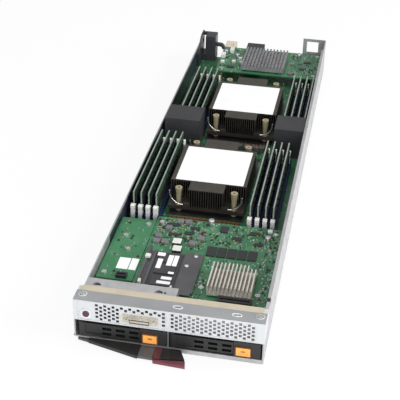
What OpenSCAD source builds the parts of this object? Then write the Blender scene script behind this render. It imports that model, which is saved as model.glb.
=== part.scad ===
// Half-height two-processor blade server, drawn open from above.
// Origin: centre of the tray's underside. +X right, +Y to the rear, +Z up. Millimetres.
// Places along the blade are counted from its front face; from_front() moves them to the origin.

/* [Tray] */
// Gap between the outer memory sockets and the side wall
wall_gap = 1.2; // [1:0.1:3]
// Gap between the rear board and the tray's rear edge
rear_gap = 2; // [1:0.5:6]
// Height of the bezel and of the right wall
tray_h = 43; // [43:0.5:48]
// Height of the low left wall
left_wall_h = 33; // [28:0.5:38]
// Sheet steel thickness
sheet_t = 1.2; // [1:0.1:1.4]
// Width of the folded lip on top of the right wall
flange_w = 3; // [2:0.5:3.5]
// Length of right wall without a lip at the rear
flange_short = 32; // [20:1:60]
// Height of the folded lip under the drive bays
front_lip_h = 4.2; // [4:0.1:4.4]

/* [Front bezel] */
// Depth of the bezel's top from the front face to its rear edge
bezel_l = 22; // [20:0.5:26]
// Distance of the gasket strip from the front face
gasket_y = 14.3; // [12:0.1:16]
// Thickness of the gasket strip
gasket_t = 1.2; // [1:0.1:1.6]
// Depth of the step that holds the gasket strip
gasket_step = 1; // [0.6:0.1:1.2]
// Side of a square vent hole
vent_hole = 2.6; // [2:0.1:2.8]
// Distance between columns of vent holes
vent_pitch_x = 3.63; // [3.4:0.01:4.4]
// Distance between vent holes in one column
vent_pitch_z = 4.1; // [3.8:0.1:4.6]
// Depth by which the vent fields are set back
vent_setback = 0.5; // [0.3:0.1:0.6]
// Depth of the shelf behind the bezel
shelf_l = 14; // [12:0.5:18]
// Radius of the round power button
button_r = 3; // [2.5:0.1:3.2]

/* [Drive bays] */
// Width of a 2.5 inch drive
drive_w = 69.85; // [69:0.05:70.5]
// Length of a 2.5 inch drive
drive_l = 100.45; // [99:0.05:101]
// Height of a 15 mm class drive
drive_h = 14.8; // [14:0.1:15]
// Sheet thickness of the drive cage
cage_t = 0.8; // [0.6:0.1:1]
// Running gap round a drive carrier
slide_gap = 0.4; // [0.3:0.05:0.6]
// Thickness of a carrier's swinging handle
handle_t = 6; // [5:0.1:6.4]
// Width of the orange release tab
tab_w = 13.6; // [12:0.1:15]
// Height of the orange release tab
tab_h = 9.6; // [8:0.1:10.5]

/* [Ejector lever] */
// Distance of the lever's pivot from the left side
pivot_in = 7.5; // [7:0.1:8.5]
// Distance of the lever's pivot behind the front face
pivot_back = 8; // [7:0.1:9]
// Radius of the lever's pivot pin
pivot_r = 2; // [1.6:0.1:2.4]
// Thickness of the lever's steel arm
arm_t = 1.4; // [1.2:0.1:1.6]
// How far the lever's free end stands out in front
lever_reach = 20.2; // [18:0.1:22]

/* [Boards] */
// Thickness of every circuit board
pcb_t = 1.6; // [1.4:0.1:1.8]
// Height of the standoffs under the main board
post_h = 4.2; // [4:0.1:5]
// Height of the rear board's standoffs
rear_post_h = 13.4; // [13:0.1:15]
// Length of the front boards
front_board_l = 130; // [128:1:136]
// Length of the rear board
rear_board_l = 76; // [72:1:80]

/* [Memory] */
// Length of a memory module
dimm_l = 133.35; // [131:0.05:134]
// Height of a memory module
dimm_h = 31.25; // [30:0.05:31.5]
// Distance between neighbouring memory sockets
dimm_pitch = 7.7; // [7.4:0.05:7.8]
// Distance between the front boards and the first memory bank
bank_gap_front = 14.45; // [13:0.05:18]
// Distance between the two memory banks
bank_gap = 39.55; // [38:0.05:46]
// Distance between the second memory bank and the rear board
bank_gap_rear = 31.3; // [24:0.1:34]
// Width of a memory socket
dimm_socket_w = 6.4; // [6:0.1:6.8]

/* [Cooling] */
// Width of a processor heat sink
sink_w = 78; // [74:0.5:79]
// Length of a processor heat sink
sink_l = 108; // [104:0.5:110]
// Length of the full-width middle of a heat sink
sink_core_l = 74; // [70:0.5:78]
// Width of the narrow ends of a heat sink
sink_end_w = 36; // [32:0.5:38]
// Distance between fins
fin_pitch = 2.4; // [2.2:0.1:3]
// Thickness of a fin
fin_t = 0.7; // [0.5:0.1:1]
// Height of a heat sink from its base to its top
sink_h = 24.4; // [22:0.1:25]
// Screw spacing across a heat sink
nut_dx = 57; // [56:0.5:58]
// Screw spacing along a heat sink
nut_dy = 97; // [95:0.5:98]
// Length of the air guides beside the second processor
duct_l = 34; // [30:0.5:38]

/* [Hidden] */
$fn = 32;
eps = 0.01;
fit = 0.05;
gap = 0.3;

// Memory banks and processors: sideways places, then places along the blade
dimm_count = 4;
cpu_x = [-5, 4.7];
bank_in_left = [for (g = [4.3, 4.4]) sink_w / 2 + dimm_socket_w / 2 + g];
bank_in_right = [for (g = [6, 6.9]) sink_w / 2 + dimm_socket_w / 2 + g];
bank_w = (dimm_count - 1) * dimm_pitch + dimm_socket_w / 2;
board_front = 40;
board_rear = board_front + front_board_l;
dimm_mid_1 = board_rear + bank_gap_front + dimm_l / 2;
dimm_mid_2 = dimm_mid_1 + dimm_l + bank_gap;
dimm_mid = [dimm_mid_1, dimm_mid_2];
cpu_at = [[cpu_x[0], dimm_mid_1 + 5.875], [cpu_x[1], dimm_mid_2 - 3.025]];
rear_board_front = dimm_mid_2 + dimm_l / 2 + bank_gap_rear;

// Tray: as wide and long as what it holds needs
in_w = cpu_x[1] + bank_in_right[1] + bank_w + wall_gap;
hw = in_w + sheet_t;
tray_l = rear_board_front + rear_board_l + rear_gap;

// Heights of the main decks
board_z = sheet_t + post_h;
board_top = board_z + pcb_t;
carrier_z = front_lip_h + 0.6;
carrier_floor = 0.6;
carrier_h = carrier_floor + drive_h;
cage_z = carrier_z + carrier_h + gap;
cage_top = cage_z + cage_t;
bezel_z = cage_top + 0.7;
deck_z = cage_top + 1;
deck_top = deck_z + pcb_t;
side_deck_z = deck_z + gap;
side_deck_top = side_deck_z + pcb_t;
rear_z = board_top + rear_post_h;
rear_top = rear_z + pcb_t;
step_z = tray_h - gasket_step;

// Drive cage, backplane and carriers
cage_l = 112;
backplane_y = cage_l;
cage_in = in_w - cage_t - gap;
carrier_w = cage_in - cage_t / 2 - 2 * slide_gap;
carrier_x = [-cage_in + slide_gap, cage_t / 2 + slide_gap];
face_l = 9;
face_y = 0.6;
rail_w = (carrier_w - drive_w) / 2 - gap;
drive_y = face_l + 0.6;
plug_w = 33;
plug_h = 5;
plug_l = 6.6;
hub_r = handle_t / 2;
hub_pin_r = 1.25;
lug_t = 1;
tab_edge = 21.6;
tab_z = 0.9;
handle_end = tab_edge + 1.9;

// Front: vent fields, connector and button
field_l = [-hw + 3.6, -1.2];
field_r = [1.2, hw - 7.2];
field_z = [bezel_z + 1, tray_h - 1.5];
port_x = -24;
port_w = 31;
port_z = 30;
port_h = 8;
button_x = -hw + 11.3;
button_z = 29.6;
bush_r = button_r + 0.9;
ring_r = button_r + 1.7;
shelf_z = step_z - sheet_t;
shelf_x = [-hw + 3.4, 2];
slot_r = 1;

// Ejector lever
pivot = [-hw + pivot_in, pivot_back];
lever_z = 0.6;
lever_top = 3.8;
corner_z = 3;
corner_l = 22;
corner_w = 22.5;
arm_end = -6;
shroud_end = -23.4;
grip_start = -10;
release_travel = 1.2;

// Boards
board_y = [118, tray_l - 4];
board_w = in_w - 1.3;
side_deck_x = [-board_w, -46];
side_deck_y = [60, board_rear - 9];
deck_x = [side_deck_x[1] + 0.5, board_w];
deck_y = [board_front, board_rear];
rear_x = [-51, board_w];
rear_y = [rear_board_front, rear_board_front + rear_board_l];
post_r = 2.6;
screw_r = 1.25;
screw_bore = screw_r + 0.1;
screw_head_r = 2.5;
screw_head_h = 1.2;
bank_mid_y = dimm_mid_1 + (dimm_l + bank_gap) / 2 - 2;
main_posts = [[-72, 125], [0, 125], [72, 125], [-34, bank_mid_y], [39, bank_mid_y], [-72, tray_l - 90],
    [12, tray_l - 90], [72, tray_l - 90], [-30, tray_l - 14], [56, tray_l - 14]];
side_posts = [[-61.7, 108.3], [-74, 68], [-69, 130], [-52, board_rear - 17]];
deck_posts = [[68.1, 61.1], [16.8, 62.9], [72, board_rear - 10], [-40, board_rear - 10]];
rear_posts = [[-45, rear_y[0] + 8], [73, rear_y[0] + 8], [14, rear_y[1] - 8], [73, rear_y[1] - 8]];

// Radius of the guide block's bore
guide_r = 3.6;

// Processors, heat sinks and memory: centre of each group, x then y
bolster_l = 112;
bolster_t = 1.4;
stud_r = 1.9;
socket_size = [60, 80];
socket_h = 3.6;
cpu_size = [56.4, 77.4];
cpu_h = 3;
sink_z = board_top + socket_h + cpu_h;
sink_base = 3.4;
sink_lid = 0.8;
nut_top = sink_z + sink_h - 1.6;
nut_bore = 3.6;
wire_r = 0.7;
wire_bend = 13.5;
wire_out = 53.6 - 54 + sink_l / 2;
wire_z = sink_z + 5.6;
wire_x = 23.6;
dimm_seat = 2.05;
dimm_t = 1.4;
dimm_socket_h = 6.6;
tower_h = 10.4;
tower_l = 6.6;
latch_pivot = [3.4, 5];
latch_h = 20.6;
latch_w = 4.2;
latch_t = 4.6;
duct_t = 1.1;
duct_y = dimm_mid_2 - dimm_l / 2 - 14.3;
duct_top = tray_h - 1;

// ---- Helpers ----

// Moves what is placed from the front face into the model's own frame
module from_front() {
    translate([0, -tray_l / 2, 0])
        children();
}

// A box given by its lowest and highest corners
module block(lo, hi) {
    translate(lo)
        cube(hi - lo);
}

// A flat outline in X and Y raised between two heights
module raise(z0, z1) {
    translate([0, 0, z0])
        linear_extrude(z1 - z0)
            children();
}

// A cylinder along Y between two distances from the front
module rod_y(x, z, r, y0, y1) {
    translate([x, y1, z])
        rotate([90, 0, 0])
            cylinder(r = r, h = y1 - y0);
}

// A cylinder along X between two places
module rod_x(y, z, r, x0, x1) {
    translate([x0, y, z])
        rotate([0, 90, 0])
            cylinder(r = r, h = x1 - x0);
}

// An outline drawn in Y and Z, carried along X
module along_x(x0, x1) {
    translate([x0, 0, 0])
        rotate([90, 0, 90])
            linear_extrude(x1 - x0)
                children();
}

// An outline drawn in X and Z, carried along Y
module along_y(y0, y1) {
    translate([0, y1, 0])
        rotate([90, 0, 0])
            linear_extrude(y1 - y0)
                children();
}

// A rectangle with round corners, given by two corners
module round_rect(lo, hi, r) {
    translate([lo[0] + r, lo[1]])
        square([hi[0] - lo[0] - 2 * r, hi[1] - lo[1]]);
    translate([lo[0], lo[1] + r])
        square([hi[0] - lo[0], hi[1] - lo[1] - 2 * r]);
    for (x = [lo[0] + r, hi[0] - r])
        for (y = [lo[1] + r, hi[1] - r])
            translate([x, y])
                circle(r = r);
}

// A fin comb: outline points of count fins of thickness t, standing on a base
function comb(count, pitch, t, base, height) =
    let (start = -(count - 1) * pitch / 2)
    concat(
        [[start - t / 2, 0]],
        [for (i = [0 : count - 1])
            each i < count - 1
                ? [[start + i * pitch - t / 2, height], [start + i * pitch + t / 2, height],
                   [start + i * pitch + t / 2, base], [start + (i + 1) * pitch - t / 2, base]]
                : [[start + i * pitch - t / 2, height], [start + i * pitch + t / 2, height]]],
        [[start + (count - 1) * pitch + t / 2, 0]]);

// ---- Tray and bezel ----

// Steel tray: pan, two walls, folded lips and the raised corner over the lever's pivot
module base_tray() {
    color("#b9bbbe")
        from_front()
            difference() {
                union() {
                    difference() {
                        tray_sheet();
                        block([-hw - 1, -1, -1], [-hw + corner_w, corner_l, corner_z]);
                    }
                    tray_corner();
                }
                translate([pivot[0], pivot[1], corner_z - 1])
                    cylinder(r = pivot_r * 0.7 + fit, h = sheet_t + 2);
                block([in_w - flange_w - 1, 31, tray_h - 4.5], [hw + 1, 37, tray_h + 1]);
                for (p = main_posts)
                    translate([p[0], p[1], -1])
                        cylinder(r = screw_bore, h = sheet_t + 2);
            }
}

// The bent sheet of the tray, before its front left corner is raised
module tray_sheet() {
    block([-hw, 0, 0], [hw, tray_l, sheet_t]);
    block([-hw, 0, 0], [hw, sheet_t, front_lip_h]);
    for (x = [-hw, in_w])
        block([x, 0, 0], [x + sheet_t, bezel_l, bezel_z]);
    block([-hw, bezel_l, 0], [-in_w, tray_l - 12, left_wall_h]);
    block([-hw, tray_l - 12.5, 0], [-in_w, tray_l, 10]);
    block([in_w, bezel_l, 0], [hw, tray_l, tray_h]);
    block([hw - flange_w, bezel_l, tray_h - sheet_t], [hw, tray_l - flange_short, tray_h]);
}

// Raised corner of the pan, with the closing steps that stiffen it
module tray_corner() {
    x1 = -hw + corner_w;
    block([-hw, 0, corner_z], [x1, corner_l, corner_z + sheet_t]);
    block([x1 - sheet_t, 0, 0], [x1, corner_l, corner_z + sheet_t]);
    block([-hw, corner_l, 0], [x1, corner_l + sheet_t, corner_z + sheet_t]);
}

// Front bezel: folded sheet with two set-back fields of square vents in a staggered pattern
module front_bezel() {
    color("#c9cccf")
        from_front()
            difference() {
                union() {
                    along_x(-hw, hw)
                        polygon([[0, bezel_z], [0, tray_h], [gasket_y, tray_h], [gasket_y, step_z],
                            [bezel_l, step_z], [bezel_l, shelf_z], [gasket_y - sheet_t, shelf_z],
                            [gasket_y - sheet_t, tray_h - sheet_t], [sheet_t, tray_h - sheet_t],
                            [sheet_t, bezel_z]]);
                    for (x = [-hw, in_w])
                        along_x(x, x + sheet_t)
                            polygon([[0, bezel_z], [0, tray_h], [gasket_y, tray_h],
                                [gasket_y, step_z], [bezel_l, step_z], [bezel_l, bezel_z]]);
                }
                for (f = [field_l, field_r])
                    block([f[0], -1, field_z[0]], [f[1], vent_setback, field_z[1]]);
                along_y(-1, sheet_t + 1)
                    for (f = [field_l, field_r])
                        vent_field(f[0] + 1.2, f[1] - 1.2);
                rod_y(button_x, button_z, bush_r + fit, -1, sheet_t + 1);
                block([port_x - 10.4, -1, port_z - 2.6], [port_x + 10.4, sheet_t + 1, port_z + 2.6]);
                for (x = [7, 57.6])
                    raise(tray_h - sheet_t - 1, tray_h + 1)
                        round_rect([x - 2.6, 7.6 - slot_r], [x + 2.6, 7.6 + slot_r], slot_r - eps);
                for (x = [-hw + 6.3, hw - 5.5])
                    translate([x, 9.6, tray_h - sheet_t - 1])
                        cylinder(r = screw_bore, h = sheet_t + 2);
            }
}

// Square vents between two places, in columns that alternate by half a pitch
module vent_field(x0, x1) {
    columns = floor((x1 - x0 - vent_hole) / vent_pitch_x);
    rows = floor((field_z[1] - field_z[0] - 1 - vent_hole) / vent_pitch_z);
    for (i = [0 : columns])
        for (j = [0 : rows]) {
            x = x0 + i * vent_pitch_x + vent_hole / 2;
            z = field_z[1] - 0.9 - vent_hole / 2 - (j + (i % 2) / 2) * vent_pitch_z;
            if (z > field_z[0] + vent_hole / 2 + 0.3 && vent_is_free(x, z))
                translate([x - vent_hole / 2, z - vent_hole / 2])
                    square(vent_hole);
        }
}

// True where neither the button nor the console port needs solid sheet
function vent_is_free(x, z) =
    abs(x - button_x) > ring_r + vent_hole / 2 + 0.5
    && (abs(x - port_x) > port_w / 2 + vent_hole / 2 + 0.3
        || z > port_z + port_h / 2 + vent_hole / 2 + 0.3);

// Conductive foam strip that seals the cover to the bezel
module cover_gasket() {
    color("#d2c8b4")
        from_front()
            block([-hw + 3.5, gasket_y, step_z], [hw - 3.5, bezel_l - gap, step_z + gasket_t]);
}

// Shelf behind the left half of the bezel, with its foot on the drive cage
module front_shelf() {
    y1 = bezel_l + shelf_l;
    color("#b4b6ba")
        from_front() {
            difference() {
                block([shelf_x[0], gasket_y, shelf_z - sheet_t], [shelf_x[1], y1, shelf_z]);
                for (x = [-68.8, -13.8])
                    raise(shelf_z - sheet_t - 1, shelf_z + 1)
                        intersection() {
                            translate([x, bezel_l + 4.4])
                                circle(r = 3.8);
                            translate([x - 4, bezel_l + 4.4])
                                square([8, 4]);
                        }
                translate([-8.3, bezel_l + 5.4, shelf_z - sheet_t - 1])
                    cylinder(r = screw_bore, h = sheet_t + 2);
            }
            block([shelf_x[0], y1 - sheet_t, cage_top], [shelf_x[1], y1, shelf_z]);
        }
}

// ---- Drive bays ----

// Drive cage: roof, three walls and the rails that the carriers run on
module drive_cage() {
    rail = 3.4;
    color("#a9abae")
        from_front() {
            block([-cage_in - cage_t, 1.4, cage_z], [cage_in + cage_t, cage_l, cage_top]);
            block([-cage_t / 2, 1.4, front_lip_h + gap], [cage_t / 2, cage_l, cage_z]);
            for (x = [-cage_in - cage_t, cage_in])
                block([x, corner_l + 2, sheet_t], [x + cage_t, cage_l, cage_z]);
            for (x = [-cage_in, -rail, cage_in - rail])
                block([x, corner_l + 2, sheet_t],
                    [x + (x == -rail ? 2 * rail : rail), cage_l, carrier_z - gap]);
        }
}

// Upright board behind the drives, with one plug for each drive
module drive_backplane() {
    color("#3f7a55")
        from_front() {
            block([-board_w, backplane_y, carrier_z], [board_w, backplane_y + pcb_t, cage_z]);
            for (x = carrier_x)
                translate([x + carrier_w / 2, 0, 0]) {
                    block([-plug_w / 2, backplane_y - plug_l, plug_z()],
                        [plug_w / 2, backplane_y, plug_z() + plug_h]);
                    block([-plug_w / 2 - 2, backplane_y - 1.6, plug_z() - 1],
                        [plug_w / 2 + 2, backplane_y, plug_z() + plug_h + 1]);
                }
        }
}

// Height of the plugs' underside
function plug_z() = carrier_z + carrier_floor + 2.2;

module carrier_left() {
    carrier(carrier_x[0]);
}

module carrier_right() {
    carrier(carrier_x[1]);
}

// Drive carrier: rails and straps round the drive, and the front frame for handle and tab
module carrier(x) {
    z1 = carrier_h;
    color("#3a3a3d")
        from_front()
            translate([x, 0, carrier_z]) {
                difference() {
                    union() {
                        for (s = [0, carrier_w - rail_w])
                            block([s, face_l - 1, 0], [s + rail_w, drive_y + drive_l, z1 * 0.7]);
                        for (y = [face_l + 10, drive_y + drive_l - 24])
                            block([rail_w - 1, y, 0], [carrier_w - rail_w + 1, y + 12, carrier_floor]);
                        block([0, hub_r + face_y, 0], [carrier_w, face_l, lug_t]);
                        block([0, hub_r + face_y, z1 - lug_t], [carrier_w, face_l, z1]);
                        block([0, face_l - 1.4, 0], [carrier_w, face_l, z1]);
                        block([carrier_w - handle_end + gap, face_y, 0], [carrier_w, face_l, z1]);
                        for (z = [0, z1 - lug_t])
                            translate([hub_r, hub_r + face_y, z])
                                cylinder(r = hub_r, h = lug_t);
                    }
                    tab_pocket();
                    for (i = [0 : 3])
                        block([handle_slot_x(i), face_l - 3, 3], [handle_slot_x(i) + 8, face_l + 1, z1 - 3]);
                }
                translate([hub_r, hub_r + face_y, lug_t - eps])
                    cylinder(r = hub_pin_r, h = z1 - 2 * lug_t + 2 * eps);
            }
}

// Left edge of a vent slot in a carrier's front, counted from the release tab
function handle_slot_x(i) = carrier_w - handle_end - 9.4 - i * 12;

// Room for the release tab in a carrier's front
module tab_pocket() {
    block([carrier_w - tab_edge - gap, -1, tab_z - gap],
        [carrier_w - tab_edge + tab_w + gap, face_l - 2.4, tab_z + tab_h + gap]);
}

module handle_left() {
    handle(carrier_x[0]);
}

module handle_right() {
    handle(carrier_x[1]);
}

// Swinging carrier handle with two rows of vents; its round end turns on the carrier's pin
module handle(x) {
    z0 = lug_t + 0.2;
    z1 = carrier_h - lug_t - 0.2;
    x1 = carrier_w - handle_end;
    color("#323235")
        from_front()
            translate([x, 0, carrier_z])
                difference() {
                    union() {
                        raise(z0, z1) {
                            translate([hub_r, hub_r + face_y])
                                circle(r = hub_r);
                            translate([hub_r, face_y])
                                square([x1 - hub_r, handle_t]);
                        }
                    }
                    translate([hub_r, hub_r + face_y, z0 - 1])
                        cylinder(r = hub_pin_r + fit, h = z1 - z0 + 2);
                    for (i = [0 : 2])
                        for (z = [z0 + 2, z0 + 7.2])
                            block([handle_slot_x(i), -1, z], [handle_slot_x(i) + 8, handle_t + 2, z + 2.8]);
                    block([hub_r + 4, -1, z0 + 2], [hub_r + 18, face_y + 0.6, z1 - 2]);
                }
}

module release_left() {
    release_tab(carrier_x[0]);
}

module release_right() {
    release_tab(carrier_x[1]);
}

// Orange tab that frees the handle: a cushion-shaped face with a shallow thumb dish
module release_tab(x) {
    x0 = carrier_w - tab_edge;
    color("#f0a85c")
        from_front()
            translate([x, 0, carrier_z])
                difference() {
                    along_y(-0.4, face_l - 3.8)
                        round_rect([x0, tab_z], [x0 + tab_w, tab_z + tab_h], 1);
                    along_y(-1, 0.1)
                        round_rect([x0 + 2.4, tab_z + 2], [x0 + tab_w - 2.4, tab_z + tab_h - 2], 1.4);
                }
}

module drive_left() {
    drive(carrier_x[0]);
}

module drive_right() {
    drive(carrier_x[1]);
}

// 2.5 inch drive: cast base, raised cover and the recess for the backplane's plug
module drive(x) {
    x0 = (carrier_w - drive_w) / 2;
    y1 = drive_y + drive_l;
    color("#8d9094")
        from_front()
            translate([x, 0, carrier_z + carrier_floor])
                difference() {
                    union() {
                        block([x0, drive_y, 0], [x0 + drive_w, y1, drive_h - 1]);
                        raise(drive_h - 1, drive_h)
                            round_rect([x0 + 1.5, drive_y + 1.5], [x0 + drive_w - 1.5, y1 - 1.5], 3);
                    }
                    block([carrier_w / 2 - plug_w / 2 - 0.4, y1 - 6, 1.8],
                        [carrier_w / 2 + plug_w / 2 + 0.4, y1 + 1, 2.6 + plug_h]);
                }
}

// ---- Boards, standoffs and screws ----

// A board with screw holes
module board(lo, hi, z, posts) {
    difference() {
        raise(z, z + pcb_t)
            round_rect(lo, hi, 1.5);
        for (p = posts)
            translate([p[0], p[1], z - 1])
                cylinder(r = screw_bore, h = pcb_t + 2);
    }
}

module main_board() {
    color("#3f7a55")
        from_front()
            board([-board_w, board_y[0]], [board_w, board_y[1]], board_z, main_posts);
}

module front_left_board() {
    color("#3f7a55")
        from_front()
            board([side_deck_x[0], side_deck_y[0]], [side_deck_x[1], side_deck_y[1]],
                side_deck_z, side_posts);
}

module front_right_board() {
    color("#3f7a55")
        from_front()
            board([deck_x[0], deck_y[0]], [deck_x[1], deck_y[1]], deck_z, deck_posts);
}

module rear_board() {
    color("#3f7a55")
        from_front()
            board([rear_x[0], rear_y[0]], [rear_x[1], rear_y[1]], rear_z, rear_posts);
}

// Height that carries a post of a front board: the cage's roof, or the main board behind it
function seat_of(p) = p[1] < cage_l ? cage_top : board_top;

// Threaded standoffs between the decks
module standoffs() {
    color("#c8b27a")
        from_front() {
            for (p = main_posts)
                standoff(p, sheet_t, board_z);
            for (p = side_posts)
                standoff(p, seat_of(p), side_deck_z);
            for (p = deck_posts)
                standoff(p, seat_of(p), deck_z);
            for (p = rear_posts)
                standoff(p, board_top, rear_z);
        }
}

module standoff(p, z0, z1) {
    translate([p[0], p[1], z0])
        difference() {
            cylinder(r = post_r, h = z1 - z0);
            translate([0, 0, z1 - z0 > 4 ? z1 - z0 - 4 : -1])
                cylinder(r = screw_bore, h = z1 - z0 + 2);
        }
}

// Pan-head screws in the boards and the bezel
module screws() {
    color("#d8d8d6")
        from_front() {
            for (p = main_posts)
                screw(p, board_top, pcb_t + 2.5);
            for (p = side_posts)
                screw(p, side_deck_top, pcb_t + (seat_of(p) == cage_top ? 0.8 : 2.5));
            for (p = deck_posts)
                screw(p, deck_top, pcb_t + (seat_of(p) == cage_top ? 0.8 : 2.5));
            for (p = rear_posts)
                screw(p, rear_top, pcb_t + 2.5);
            for (x = [-hw + 6.3, hw - 5.5])
                screw([x, 9.6], tray_h, sheet_t + 0.6);
        }
}

module screw(p, z, shaft) {
    translate([p[0], p[1], z]) {
        difference() {
            cylinder(r = screw_head_r, h = screw_head_h);
            for (a = [0, 90])
                rotate([0, 0, a])
                    block([-1.5, -0.3, screw_head_h - 0.5], [1.5, 0.3, screw_head_h + 1]);
        }
        translate([0, 0, -shaft])
            cylinder(r = screw_r, h = shaft + eps);
    }
}

// ---- Processors and cooling ----

// Corner positions of a heat sink's nuts
function nut_at() = [for (x = [-1, 1]) for (y = [-1, 1]) [x * nut_dx / 2, y * nut_dy / 2]];

// Processor sockets, each in a bolster frame with four studs
module cpu_sockets() {
    color("#4a4c50")
        from_front()
            for (c = cpu_at)
                translate([c[0], c[1], board_top]) {
                    difference() {
                        block([-sink_w / 2, -bolster_l / 2, 0], [sink_w / 2, bolster_l / 2, bolster_t]);
                        block([-socket_size[0] / 2 - gap, -socket_size[1] / 2 - gap, -1],
                            [socket_size[0] / 2 + gap, socket_size[1] / 2 + gap, bolster_t + 1]);
                    }
                    for (n = nut_at())
                        translate([n[0], n[1], bolster_t - eps])
                            cylinder(r = stud_r, h = 6 + eps);
                    block([-socket_size[0] / 2, -socket_size[1] / 2, 0],
                        [socket_size[0] / 2, socket_size[1] / 2, socket_h]);
                }
}

// Processors: package and heat spreader
module processors() {
    color("#9c9fa2")
        from_front()
            for (c = cpu_at)
                translate([c[0], c[1], board_top + socket_h]) {
                    block([-cpu_size[0] / 2, -cpu_size[1] / 2, 0], [cpu_size[0] / 2, cpu_size[1] / 2, 1.4]);
                    raise(1.4 - eps, cpu_h)
                        round_rect([-cpu_size[0] / 2 + 4, -cpu_size[1] / 2 + 5],
                            [cpu_size[0] / 2 - 4, cpu_size[1] / 2 - 5], 2);
                }
}

module heatsink_1() {
    heatsink(cpu_at[0]);
}

module heatsink_2() {
    heatsink(cpu_at[1]);
}

// Heat sink: base, wide fin core, two narrow fin ends, lids, and lugs for the tilt wires
module heatsink(c) {
    core_fins = floor((sink_w - fin_t) / fin_pitch) + 1;
    end_fins = floor((sink_end_w - fin_t) / fin_pitch) + 1;
    color("#5f5b54")
        from_front()
            translate([c[0], c[1], sink_z])
                difference() {
                    union() {
                        block([-sink_w / 2, -sink_l / 2, 0], [sink_w / 2, sink_l / 2, sink_base]);
                        along_y(-sink_core_l / 2, sink_core_l / 2)
                            polygon(comb(core_fins, fin_pitch, fin_t, sink_base, sink_h - sink_lid / 2));
                        along_y(-sink_l / 2 + 1, sink_l / 2 - 1)
                            polygon(comb(end_fins, fin_pitch, fin_t, sink_base, sink_h - sink_lid / 2));
                        block([-sink_w / 2, -sink_core_l / 2, sink_h - sink_lid],
                            [sink_w / 2, sink_core_l / 2, sink_h]);
                        block([-sink_end_w / 2, -sink_l / 2, sink_h - sink_lid],
                            [sink_end_w / 2, sink_l / 2, sink_h]);
                        for (x = [-wire_x + 0.6, sink_end_w / 2 - 2])
                            for (s = [-1, 1])
                                block([x, s * wire_out - 1.7, sink_base - eps],
                                    [x + wire_x - sink_end_w / 2 + 1.4, s * wire_out + 1.7, 7.6]);
                    }
                    for (n = nut_at())
                        translate([n[0], n[1], -1])
                            cylinder(r = nut_bore, h = sink_base + 2);
                    for (s = [-1, 1])
                        for (x = [-wire_x, sink_end_w / 2 + 0.4])
                            rod_x(s * wire_out, wire_z - sink_z, wire_r + fit, x, x + wire_x - sink_end_w / 2 - 0.4);
                }
}

// Captive nuts: foot on the stud, slim neck, flared driver cap
module heatsink_nuts() {
    color("#c9c0a0")
        from_front()
            for (c = cpu_at)
                for (n = nut_at())
                    translate([c[0] + n[0], c[1] + n[1], 0])
                        heatsink_nut();
}

module heatsink_nut() {
    z0 = board_top + bolster_t + 2;
    z1 = sink_z + sink_base;
    difference() {
        union() {
            translate([0, 0, z0])
                cylinder(r = nut_bore - 0.2, h = z1 - z0);
            translate([0, 0, z1 - eps])
                cylinder(r = 2.3, h = 7 + eps);
            translate([0, 0, z1 + 5])
                cylinder(r1 = 2.6, r2 = 3.4, h = nut_top - z1 - 7.2);
            translate([0, 0, nut_top - 2.2 - eps])
                cylinder(r = 3.6, h = 2.2 + eps);
        }
        translate([0, 0, z0 - 1])
            cylinder(r = stud_r + fit, h = 6.2);
        translate([0, 0, nut_top - 2.6])
            cylinder(r = 1.5, h = 4, $fn = 6);
    }
}

module tilt_wires_1_front() {
    tilt_wires(cpu_at[0], -1);
}

module tilt_wires_1_rear() {
    tilt_wires(cpu_at[0], 1);
}

module tilt_wires_2_front() {
    tilt_wires(cpu_at[1], -1);
}

module tilt_wires_2_rear() {
    tilt_wires(cpu_at[1], 1);
}

// A pair of bent wires that swing from the heat sink's lugs and curve up round the nuts
module tilt_wires(c, side) {
    color("#c8c9cb")
        from_front()
            translate([c[0], c[1] + side * wire_out, wire_z])
                for (s = [-1, 1])
                    mirror([s < 0 ? 1 : 0, 0, 0]) {
                        rod_x(0, 0, wire_r, sink_end_w / 2 + 0.6, wire_x);
                        translate([wire_x, 0, wire_bend])
                            rotate([90, 0, 0])
                                rotate_extrude(angle = -90, start = 0)
                                    translate([wire_bend, 0])
                                        circle(r = wire_r);
                        translate([wire_x + wire_bend, 0, wire_bend - eps])
                            cylinder(r = wire_r, h = 2);
                    }
}

module air_duct_left() {
    duct(-hw + 5.2, cpu_x[1] - bank_in_left[1] + dimm_socket_w / 2 + 1.3, true);
}

module air_duct_right() {
    duct(cpu_x[1] + bank_in_right[1] - dimm_socket_w / 2 - 4.1, hw - flange_w - 0.4, false);
}

// Air guide over the front ends of a memory bank: roof, front wall and side walls
module duct(x0, x1, left) {
    wall_x = left ? [x0, x1 - duct_t] : [x0];
    color("#3a3a3e")
        from_front() {
            block([x0, duct_y, duct_top - duct_t], [x1, duct_y + duct_l, duct_top]);
            block([x0, duct_y, board_top], [x1, duct_y + duct_t, duct_top]);
            for (x = wall_x)
                block([x, duct_y, board_top], [x + duct_t, duct_y + duct_l, duct_top]);
        }
}

// ---- Memory ----

// X places of the memory sockets of one processor
function slot_x(k) = concat(
    [for (i = [0 : dimm_count - 1]) cpu_x[k] - bank_in_left[k] - i * dimm_pitch],
    [for (i = [0 : dimm_count - 1]) cpu_x[k] + bank_in_right[k] + i * dimm_pitch]);

module dimm_sockets_1() {
    dimm_sockets(0);
}

module dimm_sockets_2() {
    dimm_sockets(1);
}

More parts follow.
